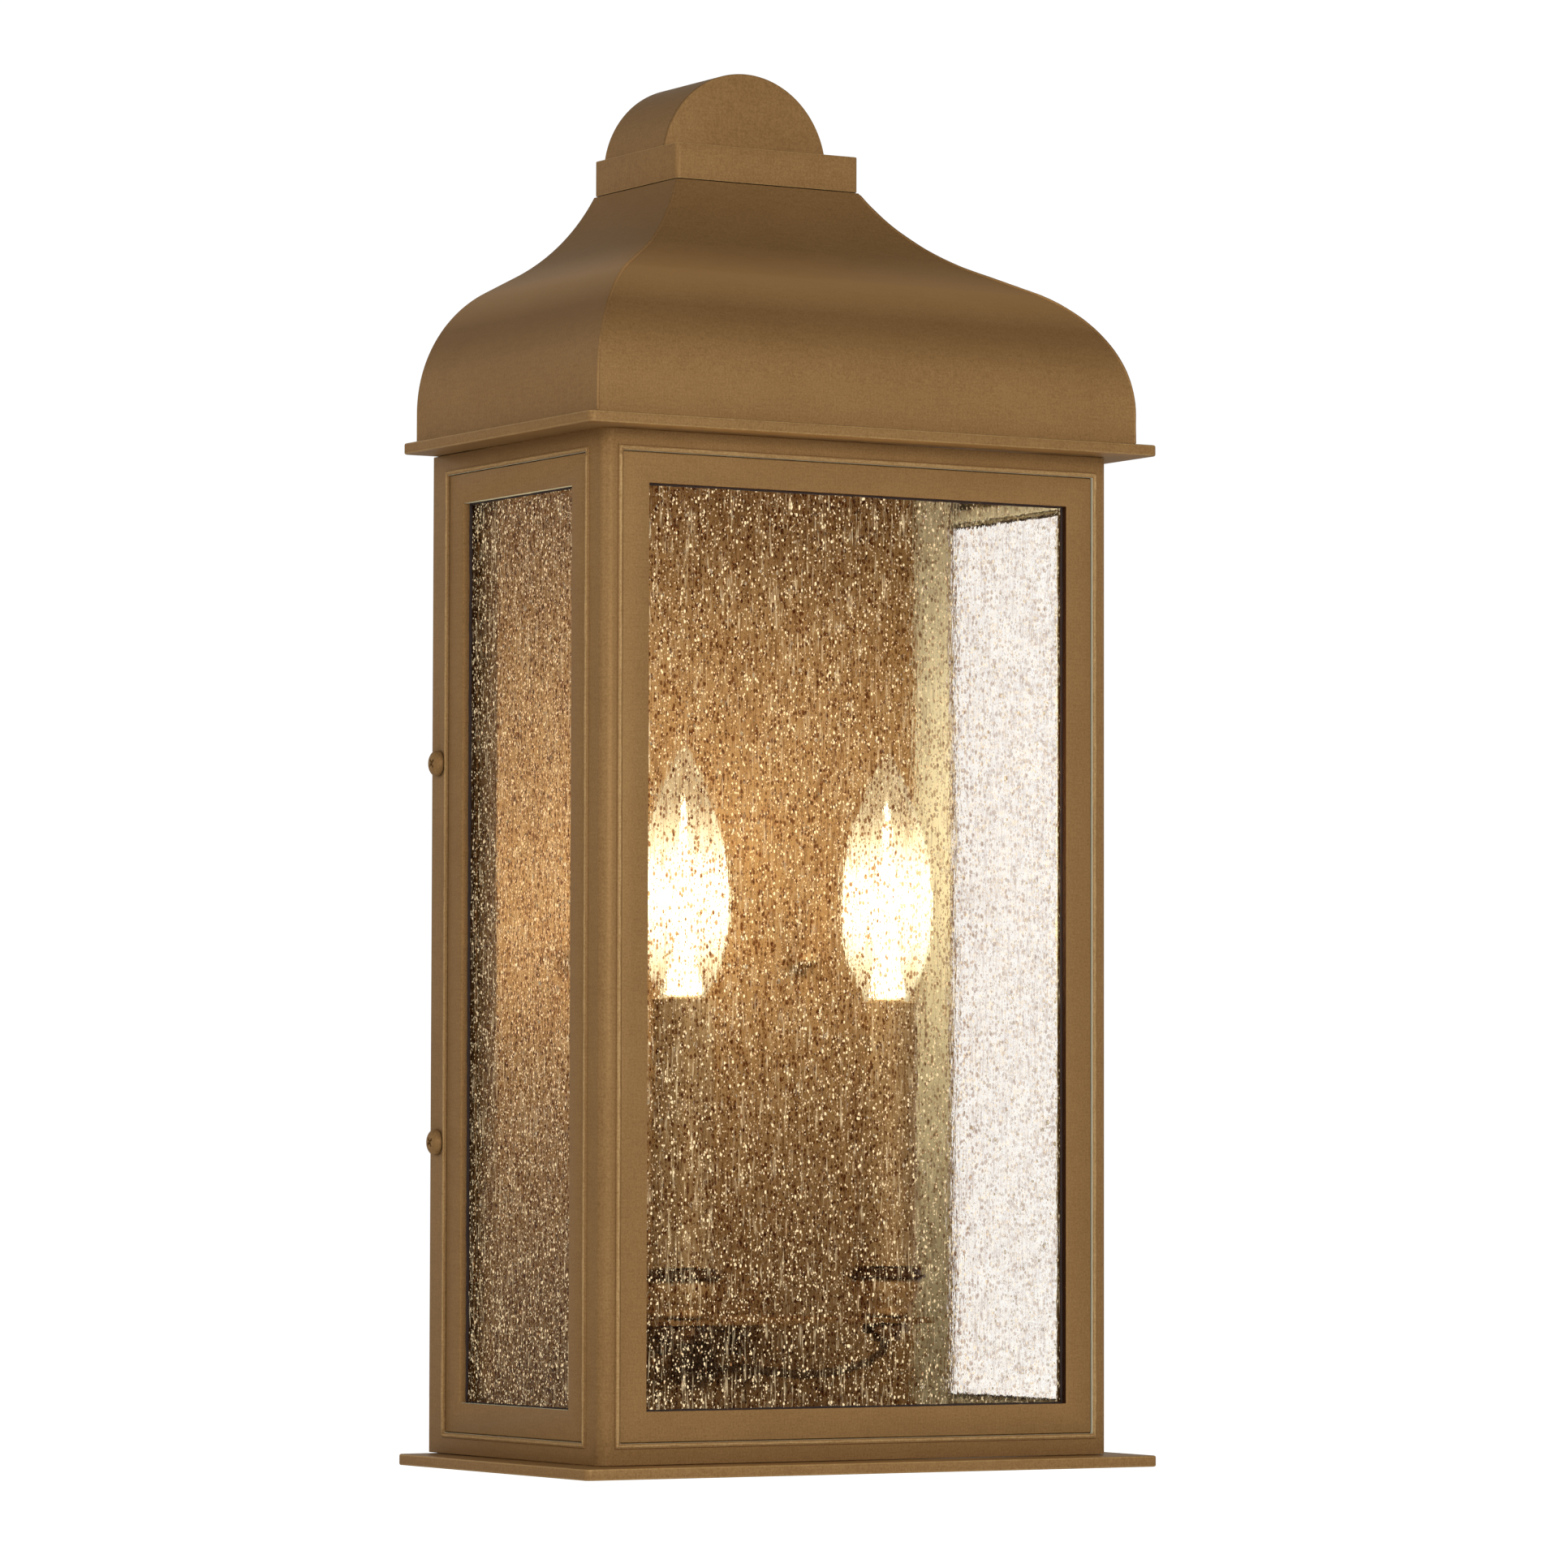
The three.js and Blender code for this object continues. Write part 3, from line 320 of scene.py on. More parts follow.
def seeded_pane(name):
    """Drawn seeded glass: slow waves and upright drawn streaks in its bumps, with painted glints and painted
    shade specks on the seeds and streaks.
    """
    n = Nodes(name)
    waves = n.noise(n.place(), 55, 2)
    streaks = n.noise(n.place((1, 1, 0.09)), 1050, 2, 0.6)
    fine = n.noise(n.place((1, 1, 0.45)), 620, 2, 0.6)
    seeds = seeds_in_skin(n, 900, (0, 0, 0), 0.66, 0.42)
    grains = seeds_in_skin(n, 1600, (0.4, 0.2, 0.1), 0.70, 0.46)
    shade = seeds_in_skin(n, 800, (0.0003, 0.2, 0.0003), 0.36, 0.56)
    small_shade_specks = seeds_in_skin(n, 1500, (0.7, 0.5, 0.3), 0.50, 0.50)
    # The painted specks fade towards +X, where the far window behind is bright.
    across = n.add("ShaderNodeSeparateXYZ", Vector=n.place()).outputs["X"]
    speck_fade = n.between(across, 10 * MM, 62 * MM, 1.0, 0.42)
    # Painted glints on seeds and bright streaks; painted shade specks beside them and on dark streaks.
    bright = n.maths("MAXIMUM", seeds, n.maths("MULTIPLY", grains, 0.85))
    bright = n.maths("MAXIMUM", bright, n.between(streaks, 0.61, 0.76, 0.0, 0.5))
    dark = n.maths("MAXIMUM", shade, n.maths("MULTIPLY", small_shade_specks, 0.85))
    dark = n.maths("MAXIMUM", dark, n.between(streaks, 0.45, 0.28, 0.0, 0.6))
    normal = n.bump(waves, 2.0 * MM, 0.5)
    normal = n.bump(streaks, 0.24 * MM, 0.6, normal)
    normal = n.bump(fine, 0.3 * MM, 0.6, normal)
    glass = n.add(
        "ShaderNodeBsdfPrincipled",
        Base_Color=rgb(0.99, 0.98, 0.96),
        Roughness=0.02,
        IOR=1.09,
        Specular_IOR_Level=0.08,
        Transmission_Weight=1.0,
        Normal=normal,
    )
    haze = n.add(
        "ShaderNodeBsdfPrincipled",
        Base_Color=rgb(1.0, 0.97, 0.9),
        Roughness=0.34,
        IOR=1.09,
        Specular_IOR_Level=0.02,
        Transmission_Weight=1.0,
    )
    glass = n.add("ShaderNodeMixShader", _0=PANE_HAZE, _1=glass.outputs[0], _2=haze.outputs[0])
    # Painted glints: warm emissive specks that glow in any light.
    glint = n.add(
        "ShaderNodeBsdfPrincipled",
        Base_Color=rgb(0.34, 0.22, 0.09),
        Roughness=0.5,
        Specular_IOR_Level=0.1,
        Emission_Color=rgb(1.0, 0.82, 0.52),
        Emission_Strength=0.95,
    )
    # Painted shade: dark tinted glass in the shade specks.
    painted_shade_glass = n.add(
        "ShaderNodeBsdfPrincipled",
        Base_Color=rgb(0.13, 0.038, 0.012),
        Roughness=0.1,
        IOR=1.09,
        Specular_IOR_Level=0.08,
        Transmission_Weight=1.0,
    )
    shaded = n.maths("MULTIPLY", n.maths("MULTIPLY", dark, speck_fade), SEED_SHADE)
    glinting = n.maths("MULTIPLY", n.maths("MULTIPLY", bright, speck_fade), SEED_GLINT)
    skin = n.add("ShaderNodeMixShader", _0=shaded, _1=glass.outputs[0], _2=painted_shade_glass.outputs[0])
    skin = n.add("ShaderNodeMixShader", _0=glinting, _1=skin.outputs[0], _2=glint.outputs[0])
    return lets_light_by(n, skin.outputs[0])


def seed_glass(name):
    """The bigger bubbles in the panes: tiny lenses with a slightly cloudy skin."""
    n = Nodes(name)
    grit = n.noise(n.place(), 700, 1)
    lens = n.add(
        "ShaderNodeBsdfPrincipled",
        Base_Color=rgb(0.97, 0.94, 0.86),
        Roughness=0.03,
        IOR=1.32,
        Specular_IOR_Level=0.3,
        Transmission_Weight=1.0,
    )
    skin = n.add("ShaderNodeBsdfPrincipled", Roughness=0.3,
                 Base_Color=n.blend(n.between(grit, 0.35, 0.65), rgb(0.5, 0.36, 0.2), rgb(0.95, 0.88, 0.7)))
    return n.show(n.add("ShaderNodeMixShader", _0=0.3, _1=lens.outputs[0], _2=skin.outputs[0]).outputs[0])


def bulb_glass(name):
    """Thin clear envelope that glows near the filament and where it is seen edge-on."""
    n = Nodes(name)
    edge = n.add("ShaderNodeLayerWeight", Blend=0.5).outputs["Facing"]
    cloud = n.noise(n.place(), 90, 2)
    height = n.add("ShaderNodeSeparateXYZ", Vector=n.place()).outputs["Z"]
    away = n.maths("ABSOLUTE", n.maths("SUBTRACT", height, FILAMENT_Z))
    near = n.between(away, 3 * MM, 36 * MM, 1.0, 0.0)
    clear = n.add("ShaderNodeBsdfTransparent", Color=rgb(1.0, 0.97, 0.9))
    glow = n.add(
        "ShaderNodeEmission",
        Color=n.blend(cloud, rgb(1.0, 0.86, 0.50), rgb(1.0, 0.92, 0.64)),
        Strength=n.between(near, 0.0, 1.0, 0.8, 3.6),
    )
    gloss = n.add("ShaderNodeBsdfGlossy", Color=rgb(1, 0.98, 0.94), Roughness=0.05)
    shine = n.add("ShaderNodeMixShader", _0=0.2, _1=glow.outputs[0], _2=gloss.outputs[0])
    rim = n.between(n.maths("POWER", edge, 2.4), 0, 1, 0.0, 0.95)
    share = n.maths("MAXIMUM", rim, n.between(n.maths("POWER", near, 1.6), 0.0, 1.0, 0.16, 0.66))
    return n.show(n.add("ShaderNodeMixShader", _0=share, _1=clear.outputs[0], _2=shine.outputs[0]).outputs[0])


def glowing(name, colour, pale, strength):
    n = Nodes(name)
    cloud = n.noise(n.place(), 400, 2)
    tint = n.blend(cloud, rgb(*colour), rgb(*pale))
    return n.show(n.add("ShaderNodeEmission", Color=tint, Strength=strength).outputs[0])


PAINT = painted_metal("bronze_gold_paint", BRONZE_GOLD, DEEP_BRONZE_GOLD)
# Wall paint with painted lamplight on its inward faces.
WALL_PAINT_LAMPLIT_INSIDE = painted_metal("bronze_gold_walls_lamplit_inside", BRONZE_GOLD, DEEP_BRONZE_GOLD, inner=LAMPLIT_CREAM)
# Roof paint with painted shade and a painted highlight strip, set by height.
ROOF_PAINT_WITH_PAINTED_SHADING = painted_metal("bronze_gold_roof_with_painted_shading", BRONZE_GOLD, DEEP_BRONZE_GOLD, painted_roof_shading=True)
# Painted shadow: a near-black strip set where pane meets frame.
PAINTED_SHADOW_STRIP = dull("dark_strip_painted_shadow", (0.030, 0.013, 0.008), (0.016, 0.007, 0.005), 0.8, 900, 0.05 * MM)
# Front frame paint with painted shade on its inward reveal faces.
FRAME_PAINT_SHADED_REVEAL = painted_metal("bronze_gold_frame_shaded_reveal", BRONZE_GOLD, DEEP_BRONZE_GOLD, inner=PAINTED_REVEAL_SHADE)
# A lighter copy of the bronze-gold paint, as painted lamplight on the sleeves and cap nuts.
LAMPLIT_TUBE_PAINT = painted_metal("bronze_gold_tube_lamplit", (0.46, 0.31, 0.15), (0.32, 0.19, 0.08))
# A lighter, paler copy of the paint as painted lamplight on the pan, with painted lamplight cream on its
# inward faces.
LAMPLIT_PAN_PAINT = painted_metal("bronze_gold_pan_lamplit", (0.37, 0.228, 0.100), (0.25, 0.135, 0.048), inner=LAMPLIT_CREAM)
# A lighter copy of the paint as painted lamplight on the cups, with a painted shade band on their rims.
LAMPLIT_CUP_PAINT = painted_metal("bronze_gold_cup_lamplit_shaded_rim", (0.55, 0.35, 0.15), (0.38, 0.22, 0.09), rim=(0.08, 0.035, 0.012))
# Lighter edge paint: wear and a painted highlight along rounded edges.
EDGE_WEAR_AND_HIGHLIGHT = painted_metal("worn_and_highlit_paint_edge", (0.42, 0.26, 0.11), (0.30, 0.17, 0.06), 0.4, 0.45)
# Lighter paint on the solder beads: a painted highlight along them, with chipped-paint wear.
BEAD_PAINT_HIGHLIT = painted_metal("paint_over_solder_highlit", (0.47, 0.30, 0.13), (0.30, 0.17, 0.065), 0.5, 0.3, 2.2)
BRONZE = plain_metal("dark_bronze", (0.16, 0.08, 0.03), (0.08, 0.035, 0.012), 0.45)
ZINC = plain_metal("zinc_plate", (0.62, 0.63, 0.64), (0.42, 0.43, 0.45), 0.34)
GREEN = plain_metal("green_passivated_zinc", (0.05, 0.33, 0.11), (0.02, 0.18, 0.06), 0.42)
BRASS = plain_metal("brass", (0.66, 0.45, 0.16), (0.42, 0.26, 0.08), 0.3)
PLASTIC = dull("black_plastic", (0.022, 0.022, 0.023), (0.012, 0.012, 0.012), 0.5, 900, 0.03 * MM)
SLEEVING = dull("wire_sleeving", (0.20, 0.12, 0.05), (0.12, 0.07, 0.03), 0.8, 1500, 0.08 * MM)
PANE = seeded_pane("seeded_pane")
SEEDS = seed_glass("glass_seeds")
ENVELOPE = bulb_glass("bulb_glass")
FILAMENT = glowing("filament", (1.0, 0.80, 0.5), (1.0, 0.9, 0.7), 90)
STEM = glowing("lit_glass_stem", (1.0, 0.88, 0.6), (1.0, 0.93, 0.74), 6)

# ---------------------------------------------------------------- mesh helpers


def smooth_group():
    """Welds a mesh and shades it smooth, apart from its sharp edges."""
    group = bpy.data.node_groups.new("smooth_by_angle", "GeometryNodeTree")
    group.interface.new_socket("Geometry", in_out="INPUT", socket_type="NodeSocketGeometry")
    group.interface.new_socket("Geometry", in_out="OUTPUT", socket_type="NodeSocketGeometry")
    add, link = group.nodes.new, group.links.new
    start, end = add("NodeGroupInput"), add("NodeGroupOutput")
    bare = add("GeometryNodeRemoveAttribute")
    bare.inputs["Name"].default_value = "custom_normal"
    weld = add("GeometryNodeMergeByDistance")
    weld.inputs["Distance"].default_value = 0.002 * MM
    faces = add("GeometryNodeSetShadeSmooth")
    edges = add("GeometryNodeSetShadeSmooth")
    edges.domain = "EDGE"
    edges.inputs["Shade Smooth"].default_value = False
    angle = add("GeometryNodeInputMeshEdgeAngle")
    sharp = add("FunctionNodeCompare")
    sharp.inputs["B"].default_value = math.radians(34)
    link(start.outputs[0], bare.inputs["Geometry"])
    link(bare.outputs["Geometry"], weld.inputs["Geometry"])
    link(weld.outputs["Geometry"], faces.inputs["Geometry"])
    link(faces.outputs["Geometry"], edges.inputs["Geometry"])
    link(angle.outputs["Unsigned Angle"], sharp.inputs["A"])
    link(sharp.outputs["Result"], edges.inputs["Selection"])
    link(edges.outputs["Geometry"], end.inputs[0])
    return group


SMOOTH = smooth_group()


def shade(obj):
    obj.modifiers.new("smooth", "NODES").node_group = SMOOTH


def soften(obj, width, segments=2, worn_and_highlit=False):
    """A small rounding on a CAD node's sharp edges, with lighter paint where asked, as wear and painted
    highlight.
    """
    weld = obj.modifiers.new("weld", "WELD")
    weld.merge_threshold = 0.002 * MM
    flat = obj.modifiers.new("flat", "DECIMATE")
    flat.decimate_type = "DISSOLVE"
    flat.angle_limit = math.radians(0.5)
    bevel = obj.modifiers.new("bevel", "BEVEL")
    bevel.width = width
    bevel.segments = segments
    bevel.limit_method = "ANGLE"
    bevel.angle_limit = math.radians(50)
    bevel.use_clamp_overlap = True
    if worn_and_highlit:
        bevel.material = 1
    shade(obj)


def piece(name, verts, faces, body, slot, material, replaces=()):
    """A new mesh in the row frame that rides on a body."""
    mesh = bpy.data.meshes.new(name)
    mesh.from_pydata([tuple(v) for v in verts], [], faces)
    mesh.validate()
    bm = bmesh.new()
    bm.from_mesh(mesh)
    bmesh.ops.recalc_face_normals(bm, faces=bm.faces)
    bm.to_mesh(mesh)
    bm.free()
    obj = bpy.data.objects.new(name, mesh)
    bpy.context.scene.collection.objects.link(obj)
    mesh.materials.append(material)
    shade(obj)
    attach(obj, body)
    if replaces:
        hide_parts(*replaces)
    return obj


def lathe(profile, centre, segments=64, closed=False):
    """Points and faces turned about +Z from [radius, z], with poles where the radius is 0."""
    verts, faces, rings = [], [], []
    for r, z in profile:
        if r < 1e-7:
            rings.append([len(verts)])
            verts.append((centre[0], centre[1], z))
            continue
        rings.append(list(range(len(verts), len(verts) + segments)))
        for k in range(segments):
            turn = 2 * math.pi * k / segments
            verts.append((centre[0] + r * math.cos(turn), centre[1] + r * math.sin(turn), z))
    pairs = list(zip(rings, rings[1:]))
    if closed:
        pairs.append((rings[-1], rings[0]))
    for low, high in pairs:
        for k in range(segments):
            after = (k + 1) % segments
            if len(low) == 1 and len(high) == 1:
                continue
            if len(low) == 1:
                faces.append((low[0], high[after], high[k]))
            elif len(high) == 1:
                faces.append((low[k], low[after], high[0]))
            else:
                faces.append((low[k], low[after], high[after], high[k]))
    return verts, faces


def rounded(profile, radius, closed=False, steps=3):
    """A profile with each corner cut back and rounded, in the profile's own plane."""
    count = len(profile)
    points = []
    for i, corner in enumerate(profile):
        if not closed and i in (0, count - 1):
            points.append(corner)
            continue
        here = Vector(corner)
        before, after = Vector(profile[i - 1]), Vector(profile[(i + 1) % count])
        reach = min(radius, (before - here).length * 0.45, (after - here).length * 0.45)
        start = here + (before - here).normalized() * reach
        end = here + (after - here).normalized() * reach
        for k in range(steps + 1):
            t = k / steps
            points.append(tuple((1 - t) ** 2 * start + 2 * t * (1 - t) * here + t * t * end))
    return points


def spline(marks, steps):
    """A smooth line through the marks."""
    pts = [Vector(m) for m in marks]
    line = []
    for i in range(len(pts) - 1):
        p0, p1, p2, p3 = pts[max(i - 1, 0)], pts[i], pts[i + 1], pts[min(i + 2, len(pts) - 1)]
        for k in range(steps):
            t = k / steps
            line.append(
                0.5 * ((2 * p1) + (p2 - p0) * t + (2 * p0 - 5 * p1 + 4 * p2 - p3) * t * t
                       + (3 * p1 - 3 * p2 + p3 - p0) * t ** 3)
            )
    line.append(pts[-1])
    return line


def tube(path, radius, sides=10, wobble=0.0, seed=0, closed=False):
    """A round bead along a path, with uneven thickness where wobble is given."""
    rng = np.random.default_rng(seed)
    path = [Vector(p) for p in path]
    count = len(path)
    swell = np.convolve(rng.normal(0, 1, count + 4), np.ones(5) / 5, "valid") * wobble
    verts, faces = [], []
    for i, p in enumerate(path):
        ahead = path[(i + 1) % count] if closed else path[min(i + 1, count - 1)]
        behind = path[i - 1] if closed else path[max(i - 1, 0)]
        along = (ahead - behind).normalized()
        side = along.cross(Vector((0.31, 0.52, 0.79))).normalized()
        other = along.cross(side)
        r = radius * (1 + swell[i])
        for k in range(sides):
            turn = 2 * math.pi * k / sides
            verts.append(p + side * (r * math.cos(turn)) + other * (r * math.sin(turn)))
    for i in range(count if closed else count - 1):
        low, high = i * sides, (i + 1) % count * sides
        for k in range(sides):
            after = (k + 1) % sides
            faces.append((low + k, low + after, high + after, high + k))
    if not closed:
        faces.append(tuple(range(sides)))
        faces.append(tuple(range((count - 1) * sides, count * sides)))
    return verts, faces


def merged(*shapes):
    """Several (points, faces) shapes as one."""
    verts, faces = [], []
    for more_verts, more_faces in shapes:
        start = len(verts)
        verts += list(more_verts)
        faces += [tuple(start + i for i in face) for face in more_faces]
    return verts, faces


# ---------------------------------------------------------------- roof


def ogee(steps):
    """The roof's section: (inset from the eave, height over the eave plate)."""
    points = [(0.0, GAP)]
    for i in range(steps + 1):
        turn = (math.pi / 2 - ROOF_SLOPE) * i / steps
        points.append((ROOF_SHOULDER_R * (1 - math.cos(turn)), ROOF_RISER + ROOF_SHOULDER_R * math.sin(turn)))
    inset, height = points[-1]
    inset += ROOF_STRAIGHT * math.cos(ROOF_SLOPE)
    height += ROOF_STRAIGHT * math.sin(ROOF_SLOPE)
    top = math.acos(math.cos(ROOF_SLOPE) - (ROOF_HEIGHT - height) / ROOF_NECK_R)
    for i in range(steps + 1):
        angle = ROOF_SLOPE + (top - ROOF_SLOPE) * i / steps
        points.append((
            inset + ROOF_NECK_R * (math.sin(angle) - math.sin(ROOF_SLOPE)),
            height + ROOF_NECK_R * (math.cos(ROOF_SLOPE) - math.cos(angle)),
        ))
    return points


def inside(points, distance):
    moved = []
    for i, (inset, height) in enumerate(points):
        a, b = points[max(i - 1, 0)], points[min(i + 1, len(points) - 1)]
        length = math.hypot(b[0] - a[0], b[1] - a[1])
        moved.append((inset + distance * (b[1] - a[1]) / length, height - distance * (b[0] - a[0]) / length))
    return moved


OGEE = ogee(28)
ROOF_RUN = OGEE[-1][0]
COLLAR_LOW, COLLAR_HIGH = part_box("roof_collar")
HALF_ROOF = COLLAR_HIGH.x + ROOF_RUN
ROOF_FRONT = COLLAR_LOW.y - ROOF_RUN


def hip_point(inset, height, side):
    return Vector((side * (HALF_ROOF - inset), ROOF_FRONT + inset, EAVE_TOP + height))


def roof_panel(name, which):
    """One bent sheet, mitred at the hips."""
    outer, inner = OGEE, inside(OGEE, SHEET)
    verts, faces = [], []
    section = outer + inner[::-1]
    cut = 0.05 * MM
    for inset, height in section:
        height = min(max(height, GAP), ROOF_HEIGHT)
        if which == "front":
            a = hip_point(inset, height, -1) + Vector((cut, 0, 0))
            b = hip_point(inset, height, 1) - Vector((cut, 0, 0))
        else:
            side = -1 if which == "left" else 1
            a = hip_point(inset, height, side) + Vector((0, cut, 0))
            b = Vector((a.x, 0, a.z))
        verts += [a, b]
    count = len(section)
    for i in range(count):
        j = (i + 1) % count
        faces.append((2 * i, 2 * i + 1, 2 * j + 1, 2 * j))
    strip = len(outer)
    for end in (0, 1):
        for i in range(strip - 1):
            k = count - 1 - i
            faces.append((2 * i + end, 2 * (i + 1) + end, 2 * (k - 1) + end, 2 * k + end))
    return piece(name, verts, faces, "cage", "bronze_gold", ROOF_PAINT_WITH_PAINTED_SHADING, [f"roof_{which}"])


def make_roof():
    for which in ("front", "left", "right"):
        roof_panel(f"roof_sheet_{which}", which)
    for word, side in (("left", -1), ("right", 1)):
        line = [hip_point(inset, height, side) for inset, height in OGEE]
        inwards = Vector((-side, 1, 0)).normalized() * 0.42 * MM
        path = []
        for a, b in zip(line, line[1:]):
            pieces = max(1, round((b - a).length / (1.6 * MM)))
            path += [a.lerp(b, k / pieces) + inwards for k in range(pieces)]
        path.append(line[-1] + inwards - Vector((0, 0, 0.5 * MM)))
        path[0].z += 0.5 * MM
        verts, faces = tube(path, 0.6 * MM, 10, 0.12, 11 + side)
        piece(f"hip_seam_{word}", verts, faces, "cage", "bronze_gold", ROOF_PAINT_WITH_PAINTED_SHADING)


# ---------------------------------------------------------------- dome


def dome_line(radius, steps=72):
    centre = DOME_HEIGHT - DOME_RADIUS
    foot = math.asin((GAP - centre) / radius)
    top = COLLAR_HIGH.z
    return [
        (radius * math.cos(foot + (math.pi - 2 * foot) * i / steps),
         top + centre + radius * math.sin(foot + (math.pi - 2 * foot) * i / steps))
        for i in range(steps + 1)
    ]


def make_dome():
    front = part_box("dome_face")[0].y
    back_of_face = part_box("dome_barrel")[0].y
    outer, inner = dome_line(DOME_RADIUS), dome_line(DOME_RADIUS - SHEET)
    ring = outer + inner[::-1]
    count = len(ring)
    verts = [(x, y, z) for y in (0, back_of_face) for x, z in ring]
    faces = [(i, (i + 1) % count, count + (i + 1) % count, count + i) for i in range(count)]
    strip = len(outer)
    for base in (0, count):
        far = base + count - 1
        faces += [(base + i, base + i + 1, far - 1 - i, far - i) for i in range(strip - 1)]
    piece("dome_band", verts, faces, "cage", "bronze_gold", PAINT, ["dome_barrel"])
    edge = 0.35 * MM
    layers = [(DOME_RADIUS, back_of_face - GAP), (DOME_RADIUS, front + edge),
              (DOME_RADIUS - 0.1 * MM, front + 0.1 * MM), (DOME_RADIUS - edge, front)]
    verts, faces = [], []
    for radius, y in layers:
        verts += [(x, y, z) for x, z in dome_line(radius)]
    for layer in range(len(layers) - 1):
        for i in range(strip):
            a, b = layer * strip + i, layer * strip + (i + 1) % strip
            faces.append((a, b, b + strip, a + strip))
    faces.append(tuple(range(strip)))
    last = (len(layers) - 1) * strip
    faces.append(tuple(range(last, last + strip)))
    piece("dome_plate", verts, faces, "cage", "bronze_gold", PAINT, ["dome_face"])
    for word, side in (("left", -1), ("right", 1)):
        x = side * (outer[0][0] + 0.1 * MM)
        z = outer[0][1] + 0.1 * MM
        rng = np.random.default_rng(41 + side)
        steps = 60
        path = [
            Vector((x + rng.normal(0, 0.12 * MM), -1 * MM + (front + 2 * MM) * k / steps, z))
            for k in range(steps + 1)
        ]
        verts, faces = tube(path, 0.62 * MM, 10, 0.35, 5 + side)
        piece(f"dome_solder_{word}", verts, faces, "cage", "bronze_gold", BEAD_PAINT_HIGHLIT)
    half = outer[0][0]
    path = [Vector((x, front + 0.25 * MM, outer[0][1] + 0.1 * MM)) for x in np.linspace(-half, half, 70)]
    verts, faces = tube(path, 0.4 * MM, 8, 0.25, 9)
    piece("dome_solder_front", verts, faces, "cage", "bronze_gold", PAINT)


# ---------------------------------------------------------------- lamps


LAMP_WATTS = 0.29
SLEEVE_RADIUS, SLEEVE_BORE = 10.9 * MM, 9.8 * MM
CUP_OUTLINE = (
    (7.4, 0), (8.6, 1.2), (8.4, 3), (10.2, 6), (11.6, 9.5), (12.3, 13.4), (14.2, 14.2), (14.2, 15.4),
    (12.2, 15.4), (12.2, 17.6), (11.3, 17.6), (11.3, 16.6), (5.1, 16.6), (5.1, 0),
)
THREAD_PITCH = 2.6 * MM
COIL_REACH, COIL_RADIUS, COIL_RISE = 8.2 * MM, 0.75 * MM, 2.6 * MM
COIL_TURNS = 26
COIL_START = 0.9


def make_candle(word, at):
    """The sleeve over one lamp holder, and the turned cup under it."""
    profile = rounded(
        [(SLEEVE_RADIUS, SLEEVE_BOTTOM), (SLEEVE_RADIUS, SLEEVE_TOP), (SLEEVE_BORE, SLEEVE_TOP),
         (SLEEVE_BORE, SLEEVE_BOTTOM)], 0.4 * MM, True)
    piece(f"candle_tube_{word}", *lathe(profile, at, 64, True), "wall_unit", "bronze_gold", LAMPLIT_TUBE_PAINT,
          [f"candle_sleeve_{word}"])
    profile = rounded([(r * MM, CUP_BOTTOM + z * MM) for r, z in CUP_OUTLINE], 0.7 * MM, True)
    piece(f"turned_cup_{word}", *lathe(profile, at, 64, True), "wall_unit", "bronze_gold", LAMPLIT_CUP_PAINT,
          [f"candle_cup_{word}"])


def make_envelope(word, at, base):
    """A flame-shaped glass with an inner wall."""
    outside = [(p.x * MM, base + p.y * MM) for p in spline(BULB_MARKS, 7)]
    wall = [(r - BULB_WALL, z) for r, z in outside[:-3]]
    tip = [(0.0, base + BULB_HEIGHT)]
    inner_tip = [(0.0, wall[-1][1] + 0.5 * MM)]
    profile = inner_tip + wall[::-1] + outside + tip
    glass = piece(f"bulb_envelope_{word}", *lathe(profile, at, 64), f"bulb_{word}", "bulb_glass", ENVELOPE,
                  [f"bulb_glass_{word}"])
    glass.visible_shadow = False


def make_screw_cap(word, at, base):
    """The bulb's brass cap, with its thread as rings."""
    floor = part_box(f"bulb_cap_{word}")[0].z
    contact = ((0, 0), (2, 0.2), (2.4, 1.5), (5.1, 3))
    profile = [(r * MM, floor + z * MM) for r, z in contact]
    thread_top = base - 1.4 * MM
    z = floor + 4.6 * MM
    while z < thread_top:
        profile += [(5.5 * MM, z), (6.05 * MM, z + THREAD_PITCH * 0.5)]
        z += THREAD_PITCH
    profile += [(6.8 * MM, base - 0.3 * MM), (6.8 * MM, base + 0.5 * MM), (2.6 * MM, base + 1 * MM),
                (0, base + 1 * MM)]
    verts, faces = lathe(rounded(profile, 0.6 * MM), at, 48)
    piece(f"bulb_screw_cap_{word}", verts, faces, f"bulb_{word}", "brass", BRASS, [f"bulb_cap_{word}"])


